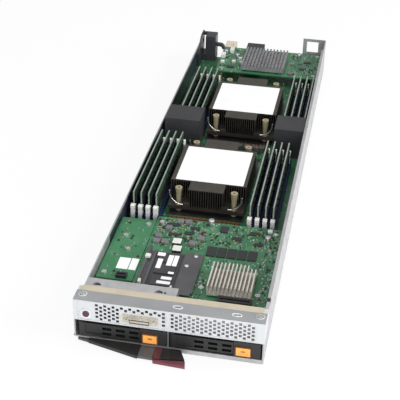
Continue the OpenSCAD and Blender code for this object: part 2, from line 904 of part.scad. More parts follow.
// Memory sockets: slotted bar with a forked tower at each end
module dimm_sockets(k) {
    color("#1d2b5e")
        from_front()
            for (x = slot_x(k))
                translate([x, dimm_mid[k], board_top])
                    difference() {
                        union() {
                            block([-dimm_socket_w / 2, -dimm_l / 2 - tower_l, 0],
                                [dimm_socket_w / 2, dimm_l / 2 + tower_l, 2]);
                            block([-dimm_socket_w / 2, -dimm_l / 2 - 0.6, 0],
                                [dimm_socket_w / 2, dimm_l / 2 + 0.6, dimm_socket_h]);
                            for (s = [-1, 1])
                                for (w = [-dimm_socket_w / 2, latch_w / 2 + 0.2])
                                    block([w, s * (dimm_l / 2 + tower_l / 2) - tower_l / 2, 0],
                                        [w + dimm_socket_w / 2 - latch_w / 2 - 0.2,
                                         s * (dimm_l / 2 + tower_l / 2) + tower_l / 2, tower_h]);
                        }
                        block([-dimm_t / 2 - fit, -dimm_l / 2 - 0.2, dimm_seat],
                            [dimm_t / 2 + fit, dimm_l / 2 + 0.2, dimm_socket_h + 1]);
                        for (s = [-1, 1])
                            rod_x(s * (dimm_l / 2 + latch_pivot[0]), latch_pivot[1], 1 + fit,
                                -dimm_socket_w, dimm_socket_w);
                    }
}

module memory_modules_1() {
    memory_modules(0);
}

module memory_modules_2() {
    memory_modules(1);
}

// Memory modules: board with end notches, and nine chips and a register on both faces
module memory_modules(k) {
    color("#4d6b52")
        from_front()
            for (x = slot_x(k))
                translate([x, dimm_mid[k], board_top + dimm_seat])
                    memory_module();
}

module memory_module() {
    chip = [9, 11.5];
    along_x(-dimm_t / 2, dimm_t / 2)
        difference() {
            translate([-dimm_l / 2, 0])
                square([dimm_l, dimm_h]);
            for (s = [-1, 1])
                translate([s * dimm_l / 2 - 1.9, 13.4])
                    square([3.8, 4.6]);
        }
    along_x(-dimm_t / 2 - 1.1, dimm_t / 2 + 1.1)
        for (i = [-4.5 : 4.5])
            translate([i * 12.6 - chip[0] / 2, 12.4])
                square(chip);
}

module latches_1_front() {
    latches(0, -1);
}

module latches_1_rear() {
    latches(0, 1);
}

module latches_2_front() {
    latches(1, -1);
}

module latches_2_rear() {
    latches(1, 1);
}

// Ejector latches of one processor's sockets at one end
module latches(k, side) {
    color("#f0f0ec")
        from_front()
            for (x = slot_x(k))
                translate([x, dimm_mid[k] + side * dimm_l / 2, board_top])
                    mirror([0, side < 0 ? 1 : 0, 0])
                        latch();
}

// One latch: round foot on its pins, upright, hook in the module's notch, finger ledge
module latch() {
    y0 = latch_pivot[0] - latch_t / 2;
    y1 = latch_pivot[0] + latch_t / 2;
    along_x(-latch_w / 2, latch_w / 2) {
        translate([latch_pivot[0], latch_pivot[1]])
            circle(r = latch_t / 2);
        polygon([[y0, latch_pivot[1]], [y1, latch_pivot[1]], [y1, latch_h - 4.4],
            [y1 + 0.6, latch_h - 3.4], [y1 + 0.6, latch_h - 0.6], [y1, latch_h],
            [y0 + 0.8, latch_h], [y0, latch_h - 0.8], [y0, dimm_seat + 17],
            [-0.6, dimm_seat + 16.4], [-1.1, dimm_seat + 15.6], [-1.1, dimm_seat + 14.6],
            [y0, dimm_seat + 13.6]]);
    }
    rod_x(latch_pivot[0], latch_pivot[1], 1, -dimm_socket_w / 2 + 0.2, dimm_socket_w / 2 - 0.2);
}

// ---- Board parts ----

// Row of power chokes in front of each processor
module vrm_chokes() {
    color("#4b4b4d")
        from_front()
            for (k = [0, 1])
                for (i = [0 : 7])
                    translate([cpu_at[k][0] - 31 + i * 8.4, cpu_at[k][1] - (k == 0 ? 78 : 73.5), board_top])
                        raise(0, 6)
                            round_rect([-3.3, 0], [3.3, 6.6], 0.6);
}

// Rows of brown ceramic capacitors between the chokes and the bolster frames
module vrm_capacitors() {
    color("#6a4028")
        from_front()
            for (k = [0, 1])
                for (i = [0 : 16])
                    for (y = [0, 3.6])
                        translate([cpu_at[k][0] - 36 + i * 4.3, cpu_at[k][1] - (k == 0 ? 66 : 64.4) + y, board_top])
                            block([0, 0, 0], [3.2, 2.4, 2.2]);
}

// Packages on the front and rear boards
module board_chips() {
    color("#2b2d2f")
        from_front() {
            for (i = [0 : 4])
                block([11.8 + i * 9.7, 112.5, deck_top], [20.4 + i * 9.7, 127.5, deck_top + 1.2]);
            block([18, 154, deck_top], [26, 164, deck_top + 1.2]);
            block([33, 61, deck_top], [54, 81, deck_top + 1.4]);
            block([-22.6, 123.5, deck_top], [-14.4, 132.6, deck_top + 2.4]);
            block([-20.2, 111.4, deck_top], [-12, 120.6, deck_top + 2.4]);
            block([-4, rear_y[0] + 18, rear_top], [22, rear_y[0] + 44, rear_top + 1.6]);
        }
}

// Low connectors on the front boards
module board_connectors() {
    color("#222326")
        from_front() {
            difference() {
                block([34.5, 44, deck_top], [64.5, 51, deck_top + 3.4]);
                block([36, 46.6, deck_top + 1], [63, 48.4, deck_top + 4]);
            }
            difference() {
                block([-62, 62, side_deck_top], [-52, 68, side_deck_top + 3]);
                block([-61, 64, side_deck_top + 1], [-53, 66, side_deck_top + 4]);
            }
        }
}

// Chipset heat sink: straight fins along the blade, with one corner cut away
module chipset_heatsink() {
    w = 40;
    l = 38;
    fins = 12;
    pitch = (w - 1.2) / (fins - 1);
    color("#b9b3a8")
        from_front()
            translate([43.5, 71.4, deck_top + 1.4])
                difference() {
                    along_y(-l / 2, l / 2)
                        polygon(comb(fins, pitch, 1.2, 2, 10));
                    block([w / 2 - 6, l / 2 - 5, 2], [w / 2 + 1, l / 2 + 1, 11]);
                }
}

// Mezzanine heat sink: square pins in a grid
module mezzanine_heatsink() {
    w = 54;
    l = 55;
    pins = 13;
    color("#8b8c8e")
        from_front()
            translate([8.5, rear_y[0] + 33, rear_top + 1.6]) {
                block([-w / 2, -l / 2, 0], [w / 2, l / 2, 2]);
                intersection() {
                    along_y(-l / 2, l / 2)
                        polygon(comb(pins, (w - 2) / (pins - 1), 2, 2, 8));
                    rotate([0, 0, 90])
                        along_y(-w / 2, w / 2)
                            polygon(comb(pins, (l - 2) / (pins - 1), 2, 2, 8));
                }
            }
}

// Carrier for a card drive: floor, raised rails, and a lid over its right part
module m2_carrier() {
    z = deck_top;
    color("#3b3b40")
        from_front() {
            block([-42, 50, z], [11, 110, z + 0.8]);
            for (rail = [[-42, 2.4, 116], [-35.4, 2.2, 110], [-6, 1.8, 110], [9.2, 1.8, 110]])
                block([rail[0], 50, z], [rail[0] + rail[1], rail[2], z + 2.8]);
            difference() {
                block([-4.4, 46, z + 2], [9.4, 110, z + 2.8]);
                for (c = [[-3.2, 89.5], [2.6, 106]])
                    translate([c[0] + 1.4, c[1], z + 1])
                        cylinder(r = 1.2, h = 3);
            }
            block([-33.2, 46, z], [-6, 50.5, z + 2.4]);
        }
}

// Card drive lying in the carrier: board, packages and edge connector
module m2_module() {
    z = deck_top + 0.8;
    color("#303236")
        from_front() {
            block([-32.2, 52, z], [-8.2, 108, z + 0.8]);
            for (y = [56, 74, 92])
                block([-29.6, y, z + 0.8], [-10.8, y + 14, z + 1.9]);
        }
}

// ---- Rear ----

// Power connector that plugs into the enclosure's midplane
module power_connector_rear() {
    x0 = -52;
    y1 = tray_l + 24;
    color("#d9d2bd")
        from_front()
            difference() {
                union() {
                    block([x0, tray_l - 20, board_top], [x0 + 14, y1, rear_z - 0.6]);
                    block([x0 - 1.4, tray_l - 20, board_top], [x0 + 15.4, tray_l - 6, board_top + 5]);
                }
                for (x = [2, 6, 10])
                    block([x0 + x, y1 - 12, board_top + 2], [x0 + x + 2, y1 + 1, rear_z - 2.4]);
                block([x0 + 3, tray_l + 6, rear_z - 1.8], [x0 + 11, tray_l + 16, rear_z]);
            }
}

// Signal connector: two stacks of thin wafers behind a common shroud
module signal_connector_rear() {
    x0 = -23;
    y1 = tray_l + 23;
    color("#24262a")
        from_front()
            difference() {
                block([x0, tray_l - 20, board_top], [x0 + 23, y1, rear_z - 0.6]);
                for (i = [0 : 6])
                    block([x0 + 1.6 + i * 3, y1 - 10, board_top + 1.6],
                        [x0 + 3.2 + i * 3, y1 + 1, rear_z - 2]);
            }
}

// Guide block in the rear left corner: windowed side plate, block with guide bore, curved arm
module guide_block_rear() {
    x0 = -in_w + gap;
    y0 = tray_l - 40;
    color("#2a2a2e")
        from_front() {
            along_x(x0, x0 + 1.8)
                difference() {
                    polygon([[y0, board_top + 1], [y0, left_wall_h - 8], [y0 + 12, tray_h - 6],
                        [y0 + 22, tray_h - 0.5], [tray_l, tray_h - 0.5], [tray_l, sheet_t],
                        [tray_l - 3.4, sheet_t], [tray_l - 3.4, board_top + 1]]);
                    translate([y0 + 17, 19])
                        square([8, 7]);
                    translate([y0 + 28, 27.5])
                        square([9, 8]);
                }
            block([x0 + 1.5, tray_l - 18, board_top + gap], [x0 + 6.6, tray_l, 16]);
            block([x0 + 1.5, tray_l - 4, 37], [x0 + 6.6, tray_l, tray_h - 2]);
            difference() {
                block([x0 + 6.4, tray_l - 18, board_top + gap], [x0 + 19.8, tray_l, tray_h - 2]);
                rod_y(x0 + 13.1, 30, guide_r, tray_l - 15, tray_l + 1);
            }
            translate([0, tray_l - 12, rear_top + gap])
                along_y(0, 6) {
                    translate([x0 + 19.4, 3.6])
                        square([4.9, 3.4]);
                    translate([x0 + 24.3, 0])
                        difference() {
                            circle(r = 7);
                            circle(r = 3.6);
                            translate([-8, -8])
                                square([16, 8]);
                            translate([-8, -1])
                                square([8, 9]);
                        }
                }
        }
}

// Sheet frame standing across the rear right corner
module support_frame_rear() {
    x1 = in_w - 0.3;
    x0 = x1 - 28;
    color("#b4b6ba")
        from_front()
            difference() {
                block([x0, tray_l - sheet_t, sheet_t], [x1, tray_l, tray_h]);
                block([x0 + 5, tray_l - 5, tray_h - 18], [x0 + 20, tray_l + 1, tray_h - 3.5]);
            }
}

// ---- Front controls ----

// Console port: flanged metal shell with a jack screw at each end
module console_port() {
    color("#b9ab86")
        from_front() {
            difference() {
                union() {
                    along_y(-0.7, vent_setback)
                        round_rect([port_x - port_w / 2, port_z - port_h / 2],
                            [port_x + port_w / 2, port_z + port_h / 2], 1.2);
                    along_y(-3.6, 0)
                        port_outline(0);
                    block([port_x - 10, 0, port_z - 2.2], [port_x + 10, 14, port_z + 2.2]);
                }
                along_y(-4, -0.6)
                    difference() {
                        port_outline(0.5);
                        translate([port_x - 8, port_z - 0.7])
                            square([16, 1.4]);
                    }
            }
            for (s = [-1, 1])
                rod_y(port_x + s * 12.8, port_z, 1.7, -3.4, -0.6);
        }
}

// D-shaped outline of the port's shell, smaller all round by inset
module port_outline(inset) {
    polygon([[port_x - 10 + inset, port_z + 2.8 - inset], [port_x + 10 - inset, port_z + 2.8 - inset],
        [port_x + 9 - inset, port_z - 2.8 + inset], [port_x - 9 + inset, port_z - 2.8 + inset]]);
}

// Bush that guides the power button: light ring outside, cup behind the bezel
module button_bush() {
    color("#dfe3e6")
        from_front()
            difference() {
                union() {
                    rod_y(button_x, button_z, ring_r, -0.5, vent_setback);
                    rod_y(button_x, button_z, bush_r, 0, 9);
                }
                rod_y(button_x, button_z, button_r + 0.08, -1, 8);
            }
}

// Power button with a slightly dished face
module power_button() {
    color("#6b3e45")
        from_front()
            difference() {
                rod_y(button_x, button_z, button_r, -1.4, 6.6);
                translate([button_x, -1.4 - 7.6, button_z])
                    sphere(r = 8);
            }
}

// ---- Ejector lever ----

// Outline of the lever's arm; grow widens it for the covers' pockets
function arm_outline(grow) = [
    [arm_end + grow, -1.4 + grow], [-hw + 17, -1.4 + grow], [pivot[0] + 6, pivot[1]],
    [pivot[0] - 6, pivot[1]], [-hw + 3.4, -1.2], [-hw + 13, -3.4 - grow],
    [shroud_end, lever_front(shroud_end) + 1 - grow], [arm_end + grow, lever_front(arm_end) + 1.6 - grow]];

// Front edge of the lever: it leaves the front face at the left and stands out at the right
function lever_front(x) =
    x < shroud_end ? -1 - (x + hw - 2) * (lever_reach - 5.6) / (shroud_end + hw - 2)
    : -lever_reach + 4.6 - (x - shroud_end) * 0.06;

// Steel arm with its hub, the claw that grips the enclosure, and the bare middle block
module lever_arm() {
    color("#4a4a4c")
        from_front()
            difference() {
                union() {
                    raise(lever_z, lever_z + arm_t) {
                        polygon(arm_outline(0));
                        translate(pivot)
                            circle(r = 6);
                        polygon([[pivot[0], pivot[1] - 5], [-hw - 1.8, pivot[1] - 4.4],
                            [-hw - 1.8, pivot[1] - 0.6], [-hw + 1.6, pivot[1] + 3], [pivot[0], pivot[1] + 5]]);
                    }
                    raise(lever_z + arm_t - eps, lever_top - 0.4)
                        polygon([[shroud_end + 0.3, -1.4], [grip_start - 0.3, -1.4],
                            [grip_start - 0.3, lever_front(grip_start) + 1],
                            [shroud_end + 0.3, lever_front(shroud_end) + 1]]);
                }
                translate([pivot[0], pivot[1], lever_z - 1])
                    cylinder(r = pivot_r + fit, h = arm_t + 2);
            }
}

// Black wedge that covers the arm in front of the left drive
module lever_shroud() {
    x0 = -hw + 13.5;
    color("#232422")
        from_front()
            difference() {
                raise(lever_z, lever_top)
                    polygon([[x0, -0.7], [shroud_end, -0.7], [shroud_end, lever_front(shroud_end)],
                        [x0, lever_front(x0)]]);
                raise(lever_z - 1, lever_z + arm_t)
                    polygon(arm_outline(fit));
            }
}

// Front edge of the grip, from its left end to its right end
grip_front = [[-9.6, -lever_reach + 4.2], [17.2, -lever_reach + 7.6]];

// Black finger grip on the end of the arm
module lever_grip() {
    color("#1f1f20")
        from_front()
            difference() {
                raise(lever_z, lever_top)
                    polygon([[grip_start, -0.7], [11.6, -0.7], grip_front[1], grip_front[0]]);
                raise(lever_z - 1, lever_z + arm_t)
                    polygon(arm_outline(fit));
                raise(lever_z - 1, lever_z + arm_t)
                    polygon([[-4.4, -4.4], [12.4, -4.4], [12.4, -lever_reach], [-4.4, -lever_reach]]);
            }
}

// Red-brown latch along the grip's edge, with its tongue under the grip
module lever_release() {
    d = release_travel;
    color("#6b3e45")
        from_front() {
            raise(lever_z, lever_top - 0.2)
                polygon([[grip_front[0][0], grip_front[0][1] - d], [grip_front[1][0] + 0.6, grip_front[1][1] - d],
                    [19, -lever_reach], [-9, -lever_reach + 1.6]]);
            raise(lever_z + 0.1, lever_z + arm_t - 0.2)
                polygon([[-3.8, -5.9], [11.8, -5.9], [11.8, grip_front[1][1] - d - 1],
                    [-3.8, grip_front[0][1] - d - 1]]);
        }
}

// Riveted pivot pin of the lever
module lever_pin() {
    color("#c4c5c7")
        from_front()
            translate([pivot[0], pivot[1], 0]) {
                translate([0, 0, 0.15])
                    cylinder(r = pivot_r + 1.4, h = lever_z - 0.2);
                translate([0, 0, 0.5])
                    cylinder(r = pivot_r, h = corner_z - 0.5);
                translate([0, 0, lever_z + arm_t + fit])
                    cylinder(r = pivot_r + 1.2, h = corner_z - lever_z - arm_t - fit);
                translate([0, 0, corner_z - eps])
                    cylinder(r = pivot_r * 0.7, h = sheet_t + eps);
            }
}

base_tray();
front_bezel();
cover_gasket();
front_shelf();
drive_cage();
drive_backplane();
main_board();
front_left_board();
front_right_board();
rear_board();
standoffs();
screws();
cpu_sockets();
processors();
heatsink_1();
heatsink_2();
heatsink_nuts();
tilt_wires_1_front();
tilt_wires_1_rear();
tilt_wires_2_front();
tilt_wires_2_rear();
dimm_sockets_1();
dimm_sockets_2();
memory_modules_1();
memory_modules_2();
latches_1_front();
latches_1_rear();
latches_2_front();
latches_2_rear();
air_duct_left();
air_duct_right();
vrm_chokes();
vrm_capacitors();
board_chips();
board_connectors();
chipset_heatsink();
mezzanine_heatsink();
m2_carrier();
m2_module();
power_connector_rear();
signal_connector_rear();
guide_block_rear();
support_frame_rear();
console_port();
power_button();
button_bush();
lever_arm();
lever_shroud();
lever_grip();
lever_release();
lever_pin();
carrier_left();
carrier_right();
drive_left();
drive_right();
handle_left();
handle_right();
release_left();
release_right();
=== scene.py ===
"""Dresses the half-height blade server: finishes for its CAD nodes, small board parts and bare labels."""

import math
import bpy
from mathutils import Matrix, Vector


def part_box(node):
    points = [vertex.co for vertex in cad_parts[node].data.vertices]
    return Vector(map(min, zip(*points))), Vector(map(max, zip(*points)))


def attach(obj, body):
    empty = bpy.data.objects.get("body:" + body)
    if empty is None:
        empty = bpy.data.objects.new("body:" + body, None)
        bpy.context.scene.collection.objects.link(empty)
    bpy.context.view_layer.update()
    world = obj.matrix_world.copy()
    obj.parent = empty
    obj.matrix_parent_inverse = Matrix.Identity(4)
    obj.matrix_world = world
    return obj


bl_info = {
    "name": "Blade Server Dressing",
    "version": (1, 0, 0),
    "blender": (4, 5, 0),
    "location": "3D View > Sidebar > Blade",
    "description": "Finishes and small parts for an open two-processor blade server",
    "category": "Object",
}

import bpy
import numpy as np
from bpy.props import FloatProperty, FloatVectorProperty, IntProperty, PointerProperty

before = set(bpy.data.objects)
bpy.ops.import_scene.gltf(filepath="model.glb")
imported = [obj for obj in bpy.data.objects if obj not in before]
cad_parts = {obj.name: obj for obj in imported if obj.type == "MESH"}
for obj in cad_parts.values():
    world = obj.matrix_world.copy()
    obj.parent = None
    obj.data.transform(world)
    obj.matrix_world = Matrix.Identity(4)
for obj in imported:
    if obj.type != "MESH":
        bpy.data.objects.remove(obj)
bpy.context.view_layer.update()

MM = 0.001
CHASSIS = "chassis"
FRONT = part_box("base_tray")[0].y / MM  # the tray's front face, in millimetres
WALL_INSIDE = 81.3  # from the middle to the inside of a side wall, in millimetres
DIMM_PITCH = 7.7  # between neighbouring memory modules, in millimetres
ROLLED = (900, 60, 900)  # scale of lines that run along the blade


# ---- Shader maths ----


class Val:
    """A node's output, so that sums and products of values read as plain Python."""

    def __init__(self, paint, socket):
        self.paint = paint
        self.socket = socket

    def _math(self, operation, *others):
        terms = dict(enumerate((self,) + others))
        return self.paint.node("ShaderNodeMath", {"operation": operation}, terms)

    def __add__(self, other):
        return self._math("ADD", other)

    __radd__ = __add__

    def __mul__(self, other):
        return self._math("MULTIPLY", other)

    __rmul__ = __mul__

    def __sub__(self, other):
        return self._math("SUBTRACT", other)

    def __rsub__(self, other):
        return self * -1 + other

    def __truediv__(self, other):
        return self._math("DIVIDE", other)

    def __gt__(self, other):
        return self._math("GREATER_THAN", other)

    def __lt__(self, other):
        return self._math("LESS_THAN", other)

    def __abs__(self):
        return self._math("ABSOLUTE")

    def __pow__(self, other):
        return self._math("POWER", other)

    def fract(self):
        return self._math("FRACT")

    def sine(self):
        return self._math("SINE")

    def most(self, other):
        return self._math("MAXIMUM", other)

    def clamp(self):
        return self.paint.node("ShaderNodeClamp", {}, {"Value": self})

    def ramp(self, low, high):
        """0 at low, 1 at high, straight between them and held outside."""
        return self.paint.node("ShaderNodeMapRange", {}, {"Value": self, "From Min": low, "From Max": high})


class Paint:
    """One material while it is written: makes its nodes and feeds its shader."""

    def __init__(self, name, colour, rough=0.5, metal=0.0, coat=0.0, **sockets):
        self.material = bpy.data.materials.new(name)
        self.material.use_nodes = True
        self.tree = self.material.node_tree
        self.shader = self.tree.nodes["Principled BSDF"]
        self.colour = tuple(colour)
        values = {"Base Color": (*colour, 1), "Roughness": rough, "Metallic": metal, "Coat Weight": coat}
        values.update(sockets)
        for socket, value in values.items():
            self.shader.inputs[socket].default_value = value
        self.place = None

    def node(self, kind, settings, values, output=0):
        """Adds a node: its settings first, then the values or links of its sockets."""
        made = self.tree.nodes.new(kind)
        for key, value in settings.items():
            if key == "stops":
                while len(made.color_ramp.elements) < len(value):
                    made.color_ramp.elements.new(0.5)
                for element, (at, tone) in zip(made.color_ramp.elements, value):
                    element.position = at
                    element.color = (*tone, 1)
            else:
                setattr(made, key, value)
        for key, value in values.items():
            self.join(value, made.inputs[key])
        return Val(self, made.outputs[output])

    def join(self, value, socket):
        if isinstance(value, Val):
            self.tree.links.new(value.socket, socket)
        elif hasattr(value, "__len__") and len(value) == 3 and socket.type == "RGBA":
            socket.default_value = (*value, 1)
        else:
            socket.default_value = value

    def feed(self, **sockets):
        """Links values to the shader's sockets; an underscore stands for a space."""
        for name, value in sockets.items():
            self.join(value, self.shader.inputs[name.replace("_", " ")])

    def spot(self):
        """Object coordinates, in metres."""
        if self.place is None:
            self.place = self.node("ShaderNodeTexCoord", {}, {}, "Object")
        return self.place

    def axes(self):
        """X, Y and Z of the spot, in millimetres."""
        parts = self.node("ShaderNodeSeparateXYZ", {}, {"Vector": self.spot()})
        return [Val(self, s) * (1 / MM) for s in parts.socket.node.outputs]

    def stretched(self, x, y, z):
        return self.node("ShaderNodeMapping", {}, {"Vector": self.spot(), "Scale": (x, y, z)})

    def noise(self, scale, detail=3.0, rough=0.55, along=None):
        at = along or self.spot()
        values = {"Vector": at, "Scale": scale, "Detail": detail, "Roughness": rough}
        return self.node("ShaderNodeTexNoise", {}, values)

    def cells(self, scale, output="Distance", along=None, feature="F1"):
        at = along or self.spot()
        return self.node("ShaderNodeTexVoronoi", {"feature": feature}, {"Vector": at, "Scale": scale}, output)

    def blend(self, factor, first, second):
        """A colour between two colours."""
        made = self.node("ShaderNodeMix", {"data_type": "RGBA"}, {0: factor, 6: first, 7: second}, 2)
        return made

    def bump(self, height, strength, distance):
        return self.node("ShaderNodeBump", {}, {"Height": height, "Strength": strength, "Distance": distance})


# ---- Surfaces ----


def put_mesh(name, verts, faces, material, slot, body=CHASSIS, smooth=False):
    """Makes a piece from points in millimetres counted from the front face, and lets it ride on a body."""
    points = np.asarray(verts, float).reshape(-1, 3) + (0, FRONT, 0)
    mesh = bpy.data.meshes.new(name)
    mesh.from_pydata((points * MM).tolist(), [], [tuple(f) for f in faces])
    if smooth:
        mesh.polygons.foreach_set("use_smooth", np.ones(len(mesh.polygons), bool))
    mesh.materials.append(material)
    mesh.update()
    piece = bpy.data.objects.new(name, mesh)
    bpy.context.scene.collection.objects.link(piece)
    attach(piece, body)
    return piece


def tube_faces(rings, around, closed_ends=True):
    """Faces of a grid of rings x around points: quads between rings, and one cap at each end."""
    ring, step = np.meshgrid(np.arange(rings - 1), np.arange(around), indexing="ij")
    here = ring * around + step
    side = ring * around + (step + 1) % around
    quads = np.stack([here, side, side + around, here + around], -1).reshape(-1, 4).tolist()
    if closed_ends:
        quads.append(list(range(around))[::-1])
        quads.append(list(range((rings - 1) * around, rings * around)))
    return quads


def copies(shape, faces, places):
    """Repeats one shape: every point of every copy is the shape's point plus the copy's place."""
    places = np.asarray(places, float).reshape(-1, 3)
    count = len(shape)
    verts = (places[:, None, :] + np.asarray(shape)[None, :, :]).reshape(-1, 3)
    every = [[i + k * count for i in f] for k in range(len(places)) for f in faces]
    return verts, every


def eased_block(size, corner, edge):
    """A block on its base with cut corners and an eased top.

    Ring k is an octagon: half-widths w/2 - e_k and d/2 - e_k, each corner cut by c, at height z_k,
    for the three rings (e, z) = (0, 0), (0, h - edge), (edge, h).
    """
    w, d, h = size
    inset = np.array([0, 0, edge])[:, None]
    height = np.array([0, h - edge, h])[:, None]
    px = np.array([1, 1, 1, -1, -1, -1, -1, 1])
    py = np.array([-1, 1, 1, 1, 1, -1, -1, -1])
    cut_x = np.array([0, 0, 1, 1, 0, 0, 1, 1])
    cut_y = 1 - cut_x
    x = px * (w / 2 - inset - cut_x * corner)
    y = py * (d / 2 - inset - cut_y * corner)
    z = np.broadcast_to(height, x.shape)
    return np.stack([x, y, z], -1).reshape(-1, 3), tube_faces(3, 8)


def turned(profile, around=20):
    """A profile of (radius, height) turned about Z: x = r cos a, y = r sin a, z = h."""
    angle = np.linspace(0, 2 * math.pi, around, endpoint=False)
    radius, height = np.asarray(profile, float).T
    x = radius[:, None] * np.cos(angle)
    y = radius[:, None] * np.sin(angle)
    z = np.broadcast_to(height[:, None], x.shape)
    return np.stack([x, y, z], -1).reshape(-1, 3), tube_faces(len(profile), around)


def ring(outer, inner, height, around=28):
    """A flat ring with eased edges: the closed profile (r_k, z_k) goes round the ring's cross-section.

    Point (k, a) = (r_k cos a, r_k sin a, z_k); both directions close on themselves.
    """
    ease = min(height, (outer - inner) / 2) * 0.35
    section = np.array([(inner, 0), (outer, 0), (outer, height - ease), (outer - ease, height),
                        (inner + ease, height), (inner, height - ease)])
    angle = np.linspace(0, 2 * math.pi, around, endpoint=False)
    x = section[:, :1] * np.cos(angle)
    y = section[:, :1] * np.sin(angle)
    z = np.broadcast_to(section[:, 1:], x.shape)
    verts = np.stack([x, y, z], -1).reshape(-1, 3)
    k, a = np.meshgrid(np.arange(6), np.arange(around), indexing="ij")
    here = k * around + a
    side = k * around + (a + 1) % around
    over = ((k + 1) % 6) * around + a
    across = ((k + 1) % 6) * around + (a + 1) % around
    return verts, np.stack([here, side, across, over], -1).reshape(-1, 4).tolist()


def sticker(corners, z, thick=0.12, radius=1.0, per_corner=5):
    """A thin sheet with round corners on any four-sided outline.

    Corner k's points are c_k + r (u_k (1 - cos t) + v_k (1 - sin t)), with u and v along its two sides and
    t from 0 to a right angle. The outline is carried up to z + thick, drawn in a little at the top.
    """
    corners = np.asarray(corners, float)
    u = np.roll(corners, 1, 0) - corners
    v = np.roll(corners, -1, 0) - corners
    u /= np.linalg.norm(u, axis=1)[:, None]
    v /= np.linalg.norm(v, axis=1)[:, None]
    t = np.linspace(0, math.pi / 2, per_corner)[None, :, None]
    turn = u[:, None, :] * (1 - np.sin(t)) + v[:, None, :] * (1 - np.cos(t))
    outline = corners[:, None, :] + radius * turn
    outline = outline.reshape(-1, 2)
    middle = outline.mean(0)
    inner = middle + (outline - middle) * (1 - 0.06 / np.linalg.norm(outline - middle, axis=1))[:, None]
    low = np.column_stack([outline, np.full(len(outline), z)])
    high = np.column_stack([outline, np.full(len(outline), z + thick * 0.6)])
    top = np.column_stack([inner, np.full(len(outline), z + thick)])
    return np.vstack([low, high, top]), tube_faces(3, len(outline))


def merged(parts):
    """Joins (points, faces) pairs into one pair."""
    verts, faces, start = [], [], 0
    for points, own in parts:
        verts.append(np.asarray(points, float))
        faces += [[i + start for i in f] for f in own]
        start += len(points)
    return np.vstack(verts), faces


def paint_nodes(material, *names):
    """Gives CAD nodes a finish through their own material slots."""
    for name in names:
        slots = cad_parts[name].material_slots
        for item in slots:
            item.material = material


# ---- Finishes ----


def times(colour, factor):
    """A colour made lighter or darker, held at white."""
    return tuple(min(1, c * factor) for c in colour)


def sheet_metal(name, colour, rough=0.42, metal=0.75, run="y"):
    """Rolled, zinc-plated sheet: fine streaks along the roll, cloudy spangle and a few dull spots."""
    p = Paint(name, colour, rough, metal)
    scale = {"x": (60, 900, 900), "y": (900, 60, 900), "z": (900, 900, 60)}[run]
    streak = p.noise(1.0, 4.0, 0.6, p.stretched(*scale))
    cloud = p.noise(26.0, 3.0)
    spangle = p.cells(160.0, "Color")
    tone = (cloud * 0.5 + streak * 0.35 + spangle * 0.15).ramp(0.3, 0.72)
    dark = times(colour, 0.82)
    light = times(colour, 1.12)
    p.feed(Base_Color=p.blend(tone, dark, light), Roughness=streak * 0.16 + cloud * 0.1 + (rough - 0.13),
           Normal=p.bump(streak, 0.12, 0.0002))
    return p.material


def painted_sheet(name, colour, rough=0.45, crest=None):
    """Silver-painted sheet: fine grain and faint wear, and painted shade that makes it greyer above the height
    crest.
    """
    p = Paint(name, colour, rough, 0.25, 0.05)
    grain = p.noise(2600.0, 2.0, 0.6)
    cloud = p.noise(18.0, 4.0)
    tone = (grain * 0.35 + cloud * 0.65).ramp(0.3, 0.7)
    shade = p.blend(tone, times(colour, 0.93), times(colour, 1.05))
    if crest is not None:
        # Painted shade: faces above the crest, the sheet's top, are darkened to 0.42-0.60 of the colour for the
        # dimmer light they get.
        height = p.axes()[2]
        painted_top_shade = p.blend(tone, times(colour, 0.42), times(colour, 0.60))
        shade = p.blend(height > crest, shade, painted_top_shade)
    p.feed(Base_Color=shade,
           Roughness=grain * 0.14 + (rough - 0.07), Normal=p.bump(grain, 0.1, 0.0001))
    return p.material


def moulded(name, colour, rough=0.5, coat=0.0, grain_size=1500.0, lift=0.3):
    """Moulded plastic: pebble grain in the height, slow shifts of shade, slightly polished high spots."""
    p = Paint(name, colour, rough, 0.0, coat)
    pebble = p.cells(grain_size)
    cloud = p.noise(40.0, 3.0)
    dark = times(colour, 0.8)
    light = times(colour, (1 + lift))
    p.feed(Base_Color=p.blend((cloud * 0.7 + pebble * 0.4).ramp(0.25, 0.75), dark, light),
           Roughness=cloud * 0.15 + pebble * 0.12 + (rough - 0.12), Normal=p.bump(pebble, 0.12, 0.00012))
    return p.material


def machined(name, colour, rough=0.35, metal=0.9, run=(1400, 1400, 60), lift=0.2):
    """Turned, drawn or extruded metal: lines along its length and soft tarnish."""
    p = Paint(name, colour, rough, metal)
    line = p.noise(1.0, 3.0, 0.6, p.stretched(*run))
    cloud = p.noise(90.0, 3.0)
    p.feed(Base_Color=p.blend((line * 0.5 + cloud * 0.5).ramp(0.3, 0.7), times(colour, (1 - lift)),
                              times(colour, (1 + lift))),
           Roughness=line * 0.2 + (rough - 0.1), Normal=p.bump(line, 0.1, 0.0001))
    return p.material


